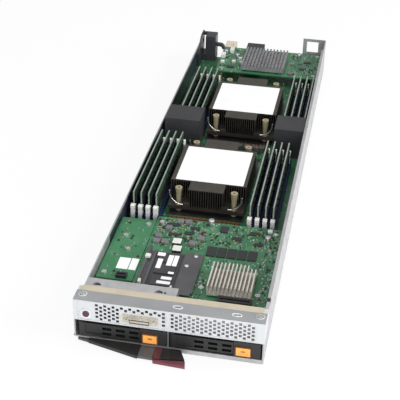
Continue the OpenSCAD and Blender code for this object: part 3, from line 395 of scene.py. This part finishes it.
def board_finish(name, mask, copper, silk, busy=0.55, seed=0.0):
    """Circuit board: solder mask over bundles of traces, dots of plated holes and small bright pads.

    Traces are stripes of x, of y and of x + y, each shown only in its own blocks of a coarse cell pattern.
    """
    p = Paint(name, mask, 0.34, 0.0, 0.25)
    x, y, z = p.axes()
    block = p.cells(55.0, "Color", feature="F1")
    pick = p.node("ShaderNodeSeparateColor", {}, {"Color": block})
    red, green, blue = [Val(p, s) for s in pick.socket.node.outputs]

    def stripes(value, pitch, width):
        return abs((value * (1 / pitch)).fract() - 0.5) < width

    along_x = stripes(y + seed, 0.9, 0.2) * (red > 0.55)
    along_y = stripes(x + seed, 1.1, 0.2) * (green > 0.55)
    slanted = stripes(x + y + seed, 1.3, 0.17) * (blue > 0.62)
    trace = along_x.most(along_y).most(slanted)
    plane = (p.noise(32.0, 2.0) > 0.55) * 0.5
    vias = (p.cells(420.0) < 0.16) * (p.noise(60.0, 1.0) > 0.52)
    pads = (p.cells(260.0, along=p.stretched(1, 0.6, 1)) < 0.2) * (p.noise(75.0, 1.0) > busy)
    green_tone = p.blend((trace * 0.7 + plane).clamp(), mask, copper)
    dotted = p.blend(vias, green_tone, times(mask, 0.35))
    final = p.blend(pads, dotted, silk)
    p.feed(Base_Color=final, Roughness=pads * 0.15 + p.noise(200.0) * 0.14 + 0.26,
           Metallic=pads * 0.4, Normal=p.bump(trace + pads * 2, 0.25, 0.00006))
    return p.material


def memory_finish(name, node, mask, package, edge, pitch):
    """Memory modules: green board, black packages on both faces and a pale cut edge along the top.

    How far a point stands from its module's middle decides between board and package.
    """
    low, high = (np.array(c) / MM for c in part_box(node))
    p = Paint(name, mask, 0.4, 0.0, 0.1)
    x, y, z = p.axes()
    left = abs(((x - (low[0] + 1.8)) * (1 / pitch) + 0.5).fract() - 0.5) * pitch
    right = abs(((high[0] - 1.8 - x) * (1 / pitch) + 0.5).fract() - 0.5) * pitch
    side = x > 0
    off = right * side + left * (1 - side)
    is_package = off > 0.75
    ends = (y < float(low[1]) + 0.06).most(y > float(high[1]) - 0.06)
    top = (z > float(high[2]) - 0.06).most(ends)
    streak = p.noise(1.0, 3.0, 0.6, p.stretched(300, 120, 900))
    board = p.blend(p.noise(120.0), times(mask, 0.7), times(mask, 1.5))
    body = p.blend(is_package, board, package)
    rim = p.blend(streak.ramp(0.35, 0.65), times(edge, 0.75), edge)
    p.feed(Base_Color=p.blend(top, body, rim), Roughness=is_package * 0.12 + streak * 0.1 + 0.33,
           Normal=p.bump(streak, 0.1, 0.0001))
    return p.material


def framed_tab(name, node, colour):
    """Orange tab: dark rim a millimetre wide and, in the middle, a small recessed bar whose darker orange and
    near-black slit are painted shade, over moulded grain.
    """
    low, high = (np.array(c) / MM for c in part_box(node))
    middle = (low + high) / 2
    half = (high - low) / 2
    p = Paint(name, colour, 0.38, 0.0, 0.15)
    x, y, z = p.axes()
    across = abs(x - float(middle[0]))
    upright = abs(z - float(middle[2]))
    rim = (across > float(half[0]) - 0.9).most(upright > float(half[2]) - 0.8)
    bar_recess_shade = (across < 2.2) * (upright < 1.1)
    slit_shade = (across < 1.4) * (upright < 0.35)
    pebble = p.cells(1500.0)
    face = p.blend(pebble, colour, times(colour, 1.3))
    edged = p.blend(rim, face, (0.26, 0.085, 0.018))
    # Painted shade: the recessed bar is darker orange and its slit near black, for the shade inside the recess.
    marked = p.blend(bar_recess_shade, edged, (0.62, 0.24, 0.06))
    p.feed(Base_Color=p.blend(slit_shade, marked, (0.10, 0.03, 0.012)), Roughness=pebble * 0.15 + 0.3,
           Normal=p.bump(pebble - bar_recess_shade, 0.15, 0.0002))
    return p.material


def grip_finish(name, node, plain, red):
    """Black grip whose left quarter is dark red, with moulded grain over both."""
    low, high = (np.array(c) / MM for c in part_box(node))
    edge = float(low[0] + (high[0] - low[0]) * 0.22)
    p = Paint(name, plain, 0.36, 0.0, 0.1)
    x, y, z = p.axes()
    pebble = p.cells(1500.0)
    worn = p.noise(40.0, 3.0)
    dark = p.blend(worn, plain, times(plain, 1.6))
    p.feed(Base_Color=p.blend((x < edge) * 0.75, dark, red), Roughness=pebble * 0.12 + worn * 0.15 + 0.24,
           Normal=p.bump(pebble, 0.12, 0.00012))
    return p.material


def finned(name, colour, rough=0.42, metal=0.8):
    """Folded fins and lid of a heat sink: soft plating clouds and fine roll lines."""
    p = Paint(name, colour, rough, metal)
    line = p.noise(1.0, 3.0, 0.6, p.stretched(1500, 50, 700))
    cloud = p.noise(70.0, 4.0)
    p.feed(Base_Color=p.blend((line * 0.4 + cloud * 0.6).ramp(0.3, 0.7), times(colour, 0.78),
                              times(colour, 1.2)),
           Roughness=line * 0.14 + cloud * 0.14 + (rough - 0.14), Normal=p.bump(line, 0.15, 0.0001))
    return p.material


def woven(name, colour):
    """Conductive cloth over foam: a fine plain weave, u and v threads as crossed sine ridges."""
    p = Paint(name, colour, 0.75, 0.15)
    x, y, z = p.axes()
    warp = (x * 7.0).sine()
    weft = (y * 7.0).sine()
    weave = warp * weft
    soft = p.noise(60.0, 3.0)
    p.feed(Base_Color=p.blend((weave * 0.22 + soft).ramp(0.2, 0.85), times(colour, 0.82), colour),
           Normal=p.bump(weave + soft, 0.3, 0.0002), Roughness=soft * 0.2 + 0.62)
    return p.material


def paper(name, colour):
    """Bare label stock: satin face, faint fibre and a few soft finger marks."""
    p = Paint(name, colour, 0.42, 0.0, 0.15)
    fibre = p.noise(700.0, 3.0, 0.6, p.stretched(1, 0.35, 1))
    mark = p.noise(30.0, 3.0)
    p.feed(Base_Color=p.blend((fibre * 0.5 + mark * 0.5).ramp(0.25, 0.75), times(colour, 0.93), colour),
           Roughness=mark * 0.2 + 0.3, Normal=p.bump(fibre, 0.06, 0.00008))
    return p.material


# ---- Values a user would change ----


def tone(label, words, value):
    return FloatVectorProperty(
        name=label, description=words, subtype="COLOR", size=3, min=0, max=1, default=value
    )


def length(label, words, value):
    return FloatProperty(name=label, description=words, unit="LENGTH", default=value * MM, min=0)


class BLADE_PG_finishes(bpy.types.PropertyGroup):
    zinc: tone("Zinc", "Tray, shelf and rear frame", (0.53, 0.53, 0.54))
    bezel: tone("Bezel", "Painted front sheet", (0.60, 0.615, 0.63))
    cage: tone("Drive cage", "Sheet round the drives", (0.40, 0.40, 0.42))
    gasket: tone("Gasket", "Cloth strip on the bezel", (0.60, 0.53, 0.41))
    mask: tone("Solder mask", "Green of the boards", (0.020, 0.125, 0.048))
    copper: tone("Mask over copper", "Lighter green over traces", (0.055, 0.215, 0.10))
    pads: tone("Pads", "Bare pads and silk marks", (0.42, 0.46, 0.42))
    memory_mask: tone("Memory board", "Green of the memory modules", (0.03, 0.075, 0.04))
    package: tone("Packages", "Black epoxy", (0.016, 0.017, 0.018))
    board_edge: tone("Board edge", "Cut edge of the memory modules", (0.30, 0.345, 0.30))
    socket: tone("Memory socket", "Navy plastic", (0.010, 0.020, 0.085))
    latch: tone("Latch", "Ivory plastic", (0.80, 0.80, 0.77))
    sink: tone("Heat sink", "Dark coated fins", (0.105, 0.096, 0.082))
    nut: tone("Driver cap", "Captive nuts", (0.50, 0.44, 0.28))
    wire: tone("Wire", "Anti-tilt wires", (0.62, 0.62, 0.63))
    chipset: tone("Chipset sink", "Pale fins", (0.66, 0.63, 0.57))
    mezzanine: tone("Mezzanine sink", "Grey pins", (0.40, 0.40, 0.41))
    duct: tone("Air duct", "Grey-black plastic", (0.026, 0.026, 0.029))
    carrier: tone("Drive carrier", "Charcoal plastic", (0.012, 0.012, 0.013))
    tab: tone("Release tab", "Orange plastic", (0.85, 0.36, 0.075))
    lever: tone("Lever", "Black plastic", (0.016, 0.016, 0.015))
    lever_steel: tone("Lever arm", "Dark grey coated steel", (0.075, 0.075, 0.078))
    maroon: tone("Latch and button", "Dark red plastic", (0.13, 0.030, 0.042))
    port: tone("Console port", "Warm plated shell", (0.56, 0.53, 0.46))
    label: tone("Label", "Bare label stock", (0.93, 0.93, 0.94))


class BLADE_PG_sizes(bpy.types.PropertyGroup):
    label_side: length("Sink label", "Side of the square labels on the heat sinks", 70.0)
    label_thick: length("Label thickness", "Thickness of a label", 0.12)
    seed: IntProperty(name="Seed", description="Seed of the scattered board parts", default=7, min=0)


class BLADE_PG_stage(bpy.types.PropertyGroup):
    floor: FloatProperty(name="Floor size", description="Side of the floor", unit="LENGTH", default=14.0)
    key: FloatProperty(name="Front light", description="Power of the front light", default=34.0)
    fill: FloatProperty(name="Right light", description="Power of the right light", default=36.0)
    top: FloatProperty(name="Top light", description="Power of the top light", default=14.0)
    sky: FloatProperty(name="Sky", description="Strength of the surrounding light", default=0.42)


def finishes():
    return bpy.context.scene.blade_finishes


def sizes():
    return bpy.context.scene.blade_sizes


def level(node, face="top"):
    """Height of a CAD node's top or bottom, in millimetres."""
    low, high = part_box(node)
    return (high.z if face == "top" else low.z) / MM


# ---- Pieces ----


class BLADE_OT_sheet_work(bpy.types.Operator):
    """Tray, bezel, shelf, cage and frame, the gasket, and the raised rims round the bezel's holes"""

    bl_idname = "blade.sheet_work"
    bl_label = "Sheet work"

    def execute(self, context):
        f = finishes()
        zinc = sheet_metal("zinc_sheet", f.zinc)
        # The crest gives the bezel's top face its painted shade.
        bezel = painted_sheet("bezel_paint", f.bezel, crest=level("front_bezel") - 0.05)
        paint_nodes(zinc, "base_tray", "front_shelf")
        paint_nodes(sheet_metal("frame_sheet", times(f.zinc, 0.8), run="z"), "support_frame_rear")
        paint_nodes(sheet_metal("cage_sheet", f.cage), "drive_cage")
        paint_nodes(bezel, "front_bezel")
        paint_nodes(woven("gasket_cloth", f.gasket), "cover_gasket")
        top = level("front_bezel")
        rims = [(np.array((x, y, top)), r, w) for x, y, r, w in
                [(-76.2, 9.6, 3.7, 0.5), (77.0, 9.6, 3.7, 0.5)]]
        parts = [(ring(r, r - w, 0.25)[0] + c, ring(r, r - w, 0.25)[1]) for c, r, w in rims]
        for x in (7.0, 57.6):
            shape, faces = ring(3.4, 2.5, 0.3)
            stretched = shape * (1, 0.62, 1)
            stretched[:, 0] += np.sign(shape[:, 0]) * 1.1
            parts.append((stretched + (x, 7.6, top), faces))
        verts, faces = merged(parts)
        # Painted highlight: the rims take the bezel's paint made 1.35 times lighter, for the light their raised
        # edges catch.
        rim_paint_highlight = painted_sheet("rim_paint_highlight", times(f.bezel, 1.35), 0.35)
        put_mesh("bezel_rims", verts, faces, rim_paint_highlight, "bezel_steel", smooth=False)
        catch, catch_faces = eased_block((3.2, 5.2, 4.0), 0.4, 0.4)
        put_mesh("cover_catch", catch + (80.7, 34.0, top - 4.45), catch_faces,
                 moulded("catch_black", (0.012, 0.012, 0.013), 0.4), "black_plastic")
        return {"FINISHED"}


class BLADE_OT_wall_shade_films(bpy.types.Operator):
    """Dark insulating film on the inner faces of both side walls, which also stands in as painted shade for their
    shadowed lower part
    """

    bl_idname = "blade.wall_films"
    bl_label = "Wall films"

    def execute(self, context):
        # Painted shade: the near-black film covers the walls' inner faces from 8 mm up, where they lie in shade.
        film = moulded("insulating_film_and_shade", (0.012, 0.014, 0.030), 0.38, 0.2, 700.0)
        for name, side, z1 in (("film_left", -1, 31.0), ("film_right", 1, 34.0)):
            outline = np.array([(116.0, 8.0), (586.0, 8.0), (586.0, z1), (116.0, z1)])
            verts, faces = sticker(outline, 0.0, 0.2, 2.0)
            x = side * (WALL_INSIDE - verts[:, 2])
            points = np.column_stack([x, verts[:, 0], verts[:, 1]])
            if side < 0:
                faces = [f[::-1] for f in faces]
            put_mesh(name, points, [f[::-1] for f in faces], film, "black_plastic")
        return {"FINISHED"}


class BLADE_OT_boards(bpy.types.Operator):
    """Green boards with traces, standoffs and screws"""

    bl_idname = "blade.boards"
    bl_label = "Boards"

    def execute(self, context):
        f = finishes()
        main = board_finish("board_main", f.mask, f.copper, f.pads, 0.5)
        paint_nodes(main, "main_board", "drive_backplane")
        left = board_finish("board_left", times(f.mask, 1.25), f.copper, f.pads, 0.66, 0.3)
        paint_nodes(left, "front_left_board")
        paint_nodes(board_finish("board_right", f.mask, f.copper, f.pads, 0.48, 0.6), "front_right_board")
        paint_nodes(board_finish("board_rear", f.mask, f.copper, f.pads, 0.58, 0.1), "rear_board")
        paint_nodes(machined("standoff_brass", (0.50, 0.43, 0.27), 0.35), "standoffs")
        paint_nodes(machined("screw_nickel", (0.66, 0.66, 0.65), 0.3), "screws", "lever_pin")
        return {"FINISHED"}


class BLADE_OT_memory(bpy.types.Operator):
    """Memory modules, their sockets and latches"""

    bl_idname = "blade.memory"
    bl_label = "Memory"

    def execute(self, context):
        f = finishes()
        for k in ("1", "2"):
            node = "memory_modules_" + k
            colours = (f.memory_mask, f.package, f.board_edge)
            paint_nodes(memory_finish("memory_board_" + k, node, *colours, DIMM_PITCH), node)
        paint_nodes(moulded("socket_navy", f.socket, 0.42), "dimm_sockets_1", "dimm_sockets_2")
        ivory = moulded("latch_ivory", f.latch, 0.4, 0.1, lift=0.08)
        paint_nodes(ivory, "latches_1_front", "latches_1_rear", "latches_2_front", "latches_2_rear")
        return {"FINISHED"}


class BLADE_OT_cooling(bpy.types.Operator):
    """Heat sinks, captive nuts, tilt wires, processors and air ducts"""

    bl_idname = "blade.cooling"
    bl_label = "Cooling"

    def execute(self, context):
        f = finishes()
        paint_nodes(finned("sink_coating", f.sink), "heatsink_1", "heatsink_2")
        paint_nodes(machined("cap_brass", f.nut, 0.38, 0.55), "heatsink_nuts")
        paint_nodes(machined("wire_bright", f.wire, 0.25), "tilt_wires_1_front", "tilt_wires_1_rear",
                    "tilt_wires_2_front", "tilt_wires_2_rear")
        paint_nodes(machined("spreader_nickel", (0.55, 0.55, 0.56), 0.35, run=ROLLED), "processors")
        paint_nodes(machined("bolster_steel", (0.16, 0.16, 0.17), 0.45, run=ROLLED), "cpu_sockets")
        paint_nodes(finned("chipset_fins", f.chipset, 0.45, 0.55), "chipset_heatsink")
        paint_nodes(finned("mezzanine_pins", f.mezzanine, 0.5, 0.6), "mezzanine_heatsink")
        paint_nodes(moulded("duct_black", f.duct, 0.45, lift=0.5), "air_duct_left", "air_duct_right")
        return {"FINISHED"}


class BLADE_OT_labels(bpy.types.Operator):
    """Bare labels on the heat sinks, the left board and the card drive"""

    bl_idname = "blade.labels"
    bl_label = "Bare labels"

    def execute(self, context):
        stock = paper("label_stock", finishes().label)
        half = sizes().label_side / MM / 2
        thick = sizes().label_thick / MM
        top = level("heatsink_1")

        def sheet(x0, y0, x1, y1, z, r=1.0):
            return sticker([(x0, y0), (x1, y0), (x1, y1), (x0, y1)], z, thick, r)

        for name, x, y in (("sink_label_1", -4.5, 256.0), ("sink_label_2", 4.7, 419.0)):
            verts, faces = sheet(x - half, y - half, x + half, y + half, top)
            put_mesh(name, verts, faces, stock, "ivory_plastic")
        card = level("m2_module")
        side = level("front_left_board")
        lid = level("m2_carrier")
        small = [
            (-31.6, 100.6, -24.2, 105.8, card),
            (-29.4, 81.0, -24.8, 96.0, card),
            (-20.6, 86.6, -15.8, 103.4, card),
            (-15.2, 86.8, -10.9, 103.6, card),
            (-16.2, 74.4, -10.9, 77.6, card),
            (-20.8, 65.2, -11.0, 69.4, card),
            (-23.6, 58.4, -11.0, 62.6, card),
            (-65.4, 76.4, -54.6, 94.0, side),
            (-53.8, 76.4, -47.0, 94.4, side),
        ]
        verts, faces = merged([sheet(*row, r=0.5) for row in small])
        put_mesh("small_labels", verts, faces, stock, "ivory_plastic")
        return {"FINISHED"}


class BLADE_OT_board_parts(bpy.types.Operator):
    """Small parts on the boards: rows of ceramic parts, coils, cans, plugs and scattered chips"""

    bl_idname = "blade.board_parts"
    bl_label = "Board parts"

    def scatter(self, rng, count, x0, y0, x1, y1, z, keep_out, margin=1.2):
        """Seeded places in a rectangle, on a 0.5 mm grid, clear of the given rectangles and each other."""
        spots = np.column_stack([rng.uniform(x0, x1, count * 6), rng.uniform(y0, y1, count * 6)])
        spots = np.round(spots * 2) / 2
        boxes = np.asarray(keep_out, float).reshape(-1, 4)
        each = spots[:, None]
        inside = ((each > boxes[None, :, :2] - margin) & (each < boxes[None, :, 2:] + margin)).all(-1)
        spots = spots[~inside.any(1)]
        gap = np.abs(spots[:, None] - spots[None]).max(-1)
        early = np.tril(np.ones(gap.shape, bool), -1)
        spots = spots[~((gap < 1.95) & early).any(1)][:count]
        return np.column_stack([spots, np.full(len(spots), z)])

    def execute(self, context):
        f = finishes()
        rng = np.random.default_rng(sizes().seed)
        deck = level("front_right_board")
        side = level("front_left_board")
        rear = level("rear_board")
        main = level("main_board")
        black = moulded("epoxy_black", f.package, 0.42, 0.1)
        tan = moulded("ceramic_tan", (0.36, 0.24, 0.15), 0.45, lift=0.4)
        grey = moulded("ferrite_grey", (0.12, 0.12, 0.125), 0.4, lift=0.6)
        silver = machined("tin_plate", (0.60, 0.61, 0.63), 0.35)
        ivory = moulded("plug_ivory", (0.70, 0.71, 0.66), 0.4, lift=0.1)
        paint_nodes(black, "board_chips")
        paint_nodes(moulded("choke_grey", (0.075, 0.075, 0.078), 0.4, lift=0.7), "vrm_chokes")
        paint_nodes(moulded("capacitor_brown", (0.165, 0.062, 0.025), 0.4, lift=0.5), "vrm_capacitors")
        paint_nodes(moulded("connector_black", (0.014, 0.014, 0.015), 0.4), "board_connectors")
        paint_nodes(moulded("card_charcoal", (0.030, 0.030, 0.033), 0.42, lift=0.6), "m2_module")
        paint_nodes(moulded("card_tray", (0.062, 0.060, 0.064), 0.45, lift=0.5), "m2_carrier")

        deck_taken = [
            (-45, 40, 12, 118), (10, 110, 62, 130), (20, 42, 67, 93), (16, 152, 28, 166), (69, 157, 75, 163),
            (-43, 157, -37, 163), (-24, 122, -13, 134), (-21, 110, -11, 122), (13, 59, 20, 66), (65, 58, 72, 65),
        ]
        side_taken = [
            (-66, 75, -46, 96), (-76, 66, -72, 70), (-64, 60, -50, 70), (-71, 128, -67, 132),
            (-64, 106, -59, 111), (-54, 150, -50, 156),
        ]
        rear_taken = [
            (-21, 525, 38, 585), (-49, 526, -41, 534), (69, 526, 77, 534), (10, 586, 18, 594), (69, 586, 77, 594),
        ]
        middle_taken = [(-37, 330, -31, 340), (36, 330, 42, 340)]
        tail_taken = [(-75, 506, -69, 514), (9, 506, 15, 514), (69, 506, 75, 514)]
        busy = self.scatter(rng, 330, -43, 120, 6, 168, deck, deck_taken)
        calm = self.scatter(rng, 260, 8, 42, 78, 167, deck, deck_taken)
        left = self.scatter(rng, 26, -77, 64, -48, 158, side, side_taken)
        back = self.scatter(rng, 150, -48, 524, 77, 595, rear, rear_taken)
        middle = self.scatter(rng, 70, -46, 322, 44, 346, main, middle_taken)
        tail = self.scatter(rng, 60, -70, 500, 72, 519, main, tail_taken)
        every = np.vstack([busy, calm, left, back, middle, tail])
        kind = rng.integers(0, 5, len(every))
        shape, faces = eased_block((1.6, 0.9, 0.8), 0.12, 0.1)
        tall, tall_faces = eased_block((0.9, 1.7, 0.6), 0.1, 0.08)
        chip, chip_faces = eased_block((3.0, 3.0, 0.9), 0.15, 0.12)
        put_mesh("ceramic_parts", *copies(shape, faces, every[kind == 0]), tan, "capacitor_body")
        dark = [
            copies(tall, tall_faces, every[kind == 1]),
            copies(chip * (0.7, 0.7, 1), chip_faces, every[kind == 2]),
        ]
        put_mesh("tiny_black_parts", *merged(dark), black, "package_black")
        plated = [copies(tall, tall_faces, every[kind == 3]), copies(shape, faces, every[kind == 4])]
        put_mesh("tiny_plated_parts", *merged(plated), silver, "screw_steel")

        coil, coil_faces = eased_block((6.4, 6.4, 3.0), 0.7, 0.4)
        coils = [
            (-38, 126, deck), (-30, 126, deck), (-38, 134.5, deck), (-4, 128, deck), (3, 138, deck),
            (-31, 150, deck), (-22, 163, deck), (-14, 163, deck), (44, 530, rear), (44, 560, rear),
        ]
        put_mesh("power_coils", *copies(coil, coil_faces, coils), grey, "choke_ferrite")
        wide, wide_faces = eased_block((9.0, 5.0, 1.0), 0.2, 0.15)
        chips = [
            (-28, 158, deck), (-6, 155, deck), (36, 146, deck), (52, 158, deck), (58, 140, deck),
            (-25, 141, deck), (-10, 146, deck), (58, 548, rear), (62, 570, rear), (-34, 536, rear),
            (30, 330, main), (-16, 336, main), (60, 331, main), (-62, 331, main),
        ]
        put_mesh("flat_chips", *copies(wide, wide_faces, chips), black, "package_black")
        can, can_faces = turned([(2.9, 0), (3.0, 0.4), (3.0, 5.2), (2.8, 5.6), (2.2, 5.8)])
        cans = [
            (-21, 545, rear), (-29, 566, rear), (-46, 576, rear), (50, 584, rear), (8, 166, deck), (66, 148, deck),
        ]
        put_mesh("capacitor_cans", *copies(can, can_faces, cans), silver, "screw_steel", smooth=True)

        plug, plug_faces = eased_block((5.0, 9.0, 5.0), 0.3, 0.3)
        low, low_faces = eased_block((4.6, 4.6, 2.2), 0.2, 0.2)
        row, row_faces = eased_block((8.2, 8.4, 0.5), 0.5, 0.15)
        sockets = [
            (-31.8, 552, rear), (-24.6, 563, rear), (-46, 549, rear), (66.2, 164, deck), (-39.6, 97, deck + 2.8),
        ]
        white = [
            copies(plug, plug_faces, [(-47.5, 566, rear), (-38.6, 583, rear)]),
            copies(low, low_faces, sockets),
            copies(row, row_faces, [(-18.5, 128, deck + 2.4), (-16.1, 116, deck + 2.4)]),
            copies(low * (0.5, 1.05, 1.5), low_faces, [(-38.3, 56, deck + 2.8)]),
            copies(low * (0.8, 2.2, 0.4), low_faces, [(-10.6, 54, level("m2_module") - 1.9)]),
        ]
        put_mesh("ivory_parts", *merged(white), ivory, "ivory_plastic")
        head, head_faces = turned([(1.2, 0), (2.2, 0.1), (2.3, 0.5), (1.9, 0.9), (0.9, 1.1)])
        lid_holes = [(-1.8, 89.5, deck + 2.7), (4.0, 106, deck + 2.7)]
        put_mesh("lid_screws", *copies(head, head_faces, lid_holes), silver, "screw_steel", smooth=True)
        return {"FINISHED"}


class BLADE_OT_front_controls(bpy.types.Operator):
    """Console port, power button, drive carriers with handles and tabs, and the ejector lever"""

    bl_idname = "blade.front_controls"
    bl_label = "Front controls"

    def execute(self, context):
        f = finishes()
        paint_nodes(machined("port_plating", f.port, 0.35, 0.6), "console_port")
        paint_nodes(moulded("button_maroon", times(f.maroon, 0.6), 0.35, 0.1), "power_button")
        paint_nodes(moulded("bush_pale", (0.72, 0.75, 0.79), 0.35, 0.2, lift=0.1), "button_bush")
        carrier = moulded("carrier_charcoal", f.carrier, 0.42, lift=0.6)
        paint_nodes(carrier, "carrier_left", "carrier_right")
        handle = moulded("handle_charcoal", times(f.carrier, 0.85), 0.4, lift=0.6)
        paint_nodes(handle, "handle_left", "handle_right")
        for side in ("left", "right"):
            paint_nodes(framed_tab("tab_orange_" + side, "release_" + side, f.tab), "release_" + side)
        paint_nodes(machined("drive_case", (0.40, 0.41, 0.43), 0.4, run=ROLLED), "drive_left", "drive_right")
        paint_nodes(moulded("lever_black", f.lever, 0.36, 0.1, lift=0.6), "lever_shroud")
        paint_nodes(grip_finish("grip_black", "lever_grip", f.lever, f.maroon), "lever_grip")
        paint_nodes(moulded("arm_coat", f.lever_steel, 0.42, lift=0.5), "lever_arm")
        paint_nodes(moulded("latch_maroon", f.maroon, 0.42, 0.1, lift=0.4), "lever_release")
        return {"FINISHED"}


class BLADE_OT_rear_parts(bpy.types.Operator):
    """Rear connectors and the guide block"""

    bl_idname = "blade.rear_parts"
    bl_label = "Rear parts"

    def execute(self, context):
        paint_nodes(moulded("plug_beige", (0.62, 0.57, 0.45), 0.4, lift=0.12), "power_connector_rear")
        paint_nodes(moulded("plug_dark", (0.022, 0.022, 0.025), 0.4, lift=0.6), "signal_connector_rear")
        paint_nodes(moulded("guide_black", (0.022, 0.022, 0.026), 0.36, 0.1, lift=0.8), "guide_block_rear")
        return {"FINISHED"}


class BLADE_OT_stage(bpy.types.Operator):
    """Pale floor, soft lights and the camera"""

    bl_idname = "blade.stage"
    bl_label = "Stage"

    def execute(self, context):
        scene = context.scene
        s = scene.blade_stage
        scene.view_settings.view_transform = "Standard"
        half = s.floor / 2
        mesh = bpy.data.meshes.new("floor")
        z = -0.0003
        corners = [(-half, -half, z), (half, -half, z), (half, half, z), (-half, half, z)]
        mesh.from_pydata(corners, [], [(0, 1, 2, 3)])
        floor = bpy.data.objects.new("floor", mesh)
        scene.collection.objects.link(floor)
        p = Paint("floor_paint", (0.86, 0.86, 0.86), 0.9)
        lights = p.node("ShaderNodeLightPath", {}, {})
        camera_ray = Val(p, lights.socket.node.outputs["Is Camera Ray"])
        glow = p.node("ShaderNodeEmission", {}, {"Color": (1.0, 1.0, 1.0), "Strength": 1.0})
        surface = Val(p, p.shader.outputs[0])
        mixed = p.node("ShaderNodeMixShader", {}, {0: camera_ray * 0.86, 1: surface, 2: glow})
        p.join(mixed, p.tree.nodes["Material Output"].inputs["Surface"])
        mesh.materials.append(p.material)

        world = bpy.data.worlds.new("studio")
        scene.world = world
        world.use_nodes = True
        tree = world.node_tree
        plain = tree.nodes["Background"]
        plain.inputs["Color"].default_value = (1, 1, 1, 1)
        plain.inputs["Strength"].default_value = s.sky
        white = tree.nodes.new("ShaderNodeBackground")
        white.inputs["Color"].default_value = (1, 1, 1, 1)
        white.inputs["Strength"].default_value = 1.0
        rays = tree.nodes.new("ShaderNodeLightPath")
        seen = tree.nodes.new("ShaderNodeMath")
        seen.operation = "MAXIMUM"
        tree.links.new(rays.outputs["Is Camera Ray"], seen.inputs[0])
        tree.links.new(rays.outputs["Is Transmission Ray"], seen.inputs[1])
        mix = tree.nodes.new("ShaderNodeMixShader")
        tree.links.new(seen.outputs[0], mix.inputs[0])
        tree.links.new(plain.outputs[0], mix.inputs[1])
        tree.links.new(white.outputs[0], mix.inputs[2])
        tree.links.new(mix.outputs[0], tree.nodes["World Output"].inputs["Surface"])

        for name, power, size, place, aim in (
            ("front_light", s.key, 1.6, (0.3, -2.2, 0.75), (0, -0.1, 0)),
            ("right_light", s.fill, 1.4, (1.9, -0.2, 1.0), (0, 0, 0)),
            ("top_light", s.top, 1.8, (-0.3, 0.2, 1.9), (0, 0, 0)),
        ):
            data = bpy.data.lights.new(name, "AREA")
            data.energy = power
            data.size = size
            lamp = bpy.data.objects.new(name, data)
            scene.collection.objects.link(lamp)
            away = np.subtract(place, aim)
            flat = math.hypot(away[0], away[1])
            lamp.location = place
            lamp.rotation_euler = (math.atan2(flat, away[2]), 0, math.atan2(away[0], -away[1]))

        data = bpy.data.cameras.new("camera")
        data.lens = 92.31
        data.sensor_width = 36.0
        data.clip_end = 50
        camera = bpy.data.objects.new("camera", data)
        scene.collection.objects.link(camera)
        camera.location = (0.142671, -0.960973, 0.578379)
        camera.rotation_euler = [math.radians(a) for a in (57.86048, -1.01507, 10.69493)]
        scene.camera = camera
        return {"FINISHED"}


STEPS = (
    BLADE_OT_sheet_work,
    BLADE_OT_wall_shade_films,
    BLADE_OT_boards,
    BLADE_OT_memory,
    BLADE_OT_cooling,
    BLADE_OT_labels,
    BLADE_OT_board_parts,
    BLADE_OT_front_controls,
    BLADE_OT_rear_parts,
    BLADE_OT_stage,
)


class BLADE_PT_panel(bpy.types.Panel):
    """Lists the pieces and the values behind them"""

    bl_idname = "BLADE_PT_panel"
    bl_label = "Blade server"
    bl_space_type = "VIEW_3D"
    bl_region_type = "UI"
    bl_category = "Blade"

    def draw(self, context):
        for step in STEPS:
            self.layout.operator(step.bl_idname, text=step.bl_label)
        for group in (context.scene.blade_finishes, context.scene.blade_sizes, context.scene.blade_stage):
            box = self.layout.box()
            for name in group.__annotations__:
                box.prop(group, name)


GROUPS = (
    ("blade_finishes", BLADE_PG_finishes),
    ("blade_sizes", BLADE_PG_sizes),
    ("blade_stage", BLADE_PG_stage),
)


def register():
    for name, group in GROUPS:
        bpy.utils.register_class(group)
        setattr(bpy.types.Scene, name, PointerProperty(type=group))
    for step in STEPS:
        bpy.utils.register_class(step)
    bpy.utils.register_class(BLADE_PT_panel)


def unregister():
    bpy.utils.unregister_class(BLADE_PT_panel)
    for step in reversed(STEPS):
        bpy.utils.unregister_class(step)
    for name, group in reversed(GROUPS):
        delattr(bpy.types.Scene, name)
        bpy.utils.unregister_class(group)


def main():
    register()
    for step in STEPS:
        family, action = step.bl_idname.split(".")
        getattr(getattr(bpy.ops, family), action)()
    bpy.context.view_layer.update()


if __name__ == "__main__":
    main()
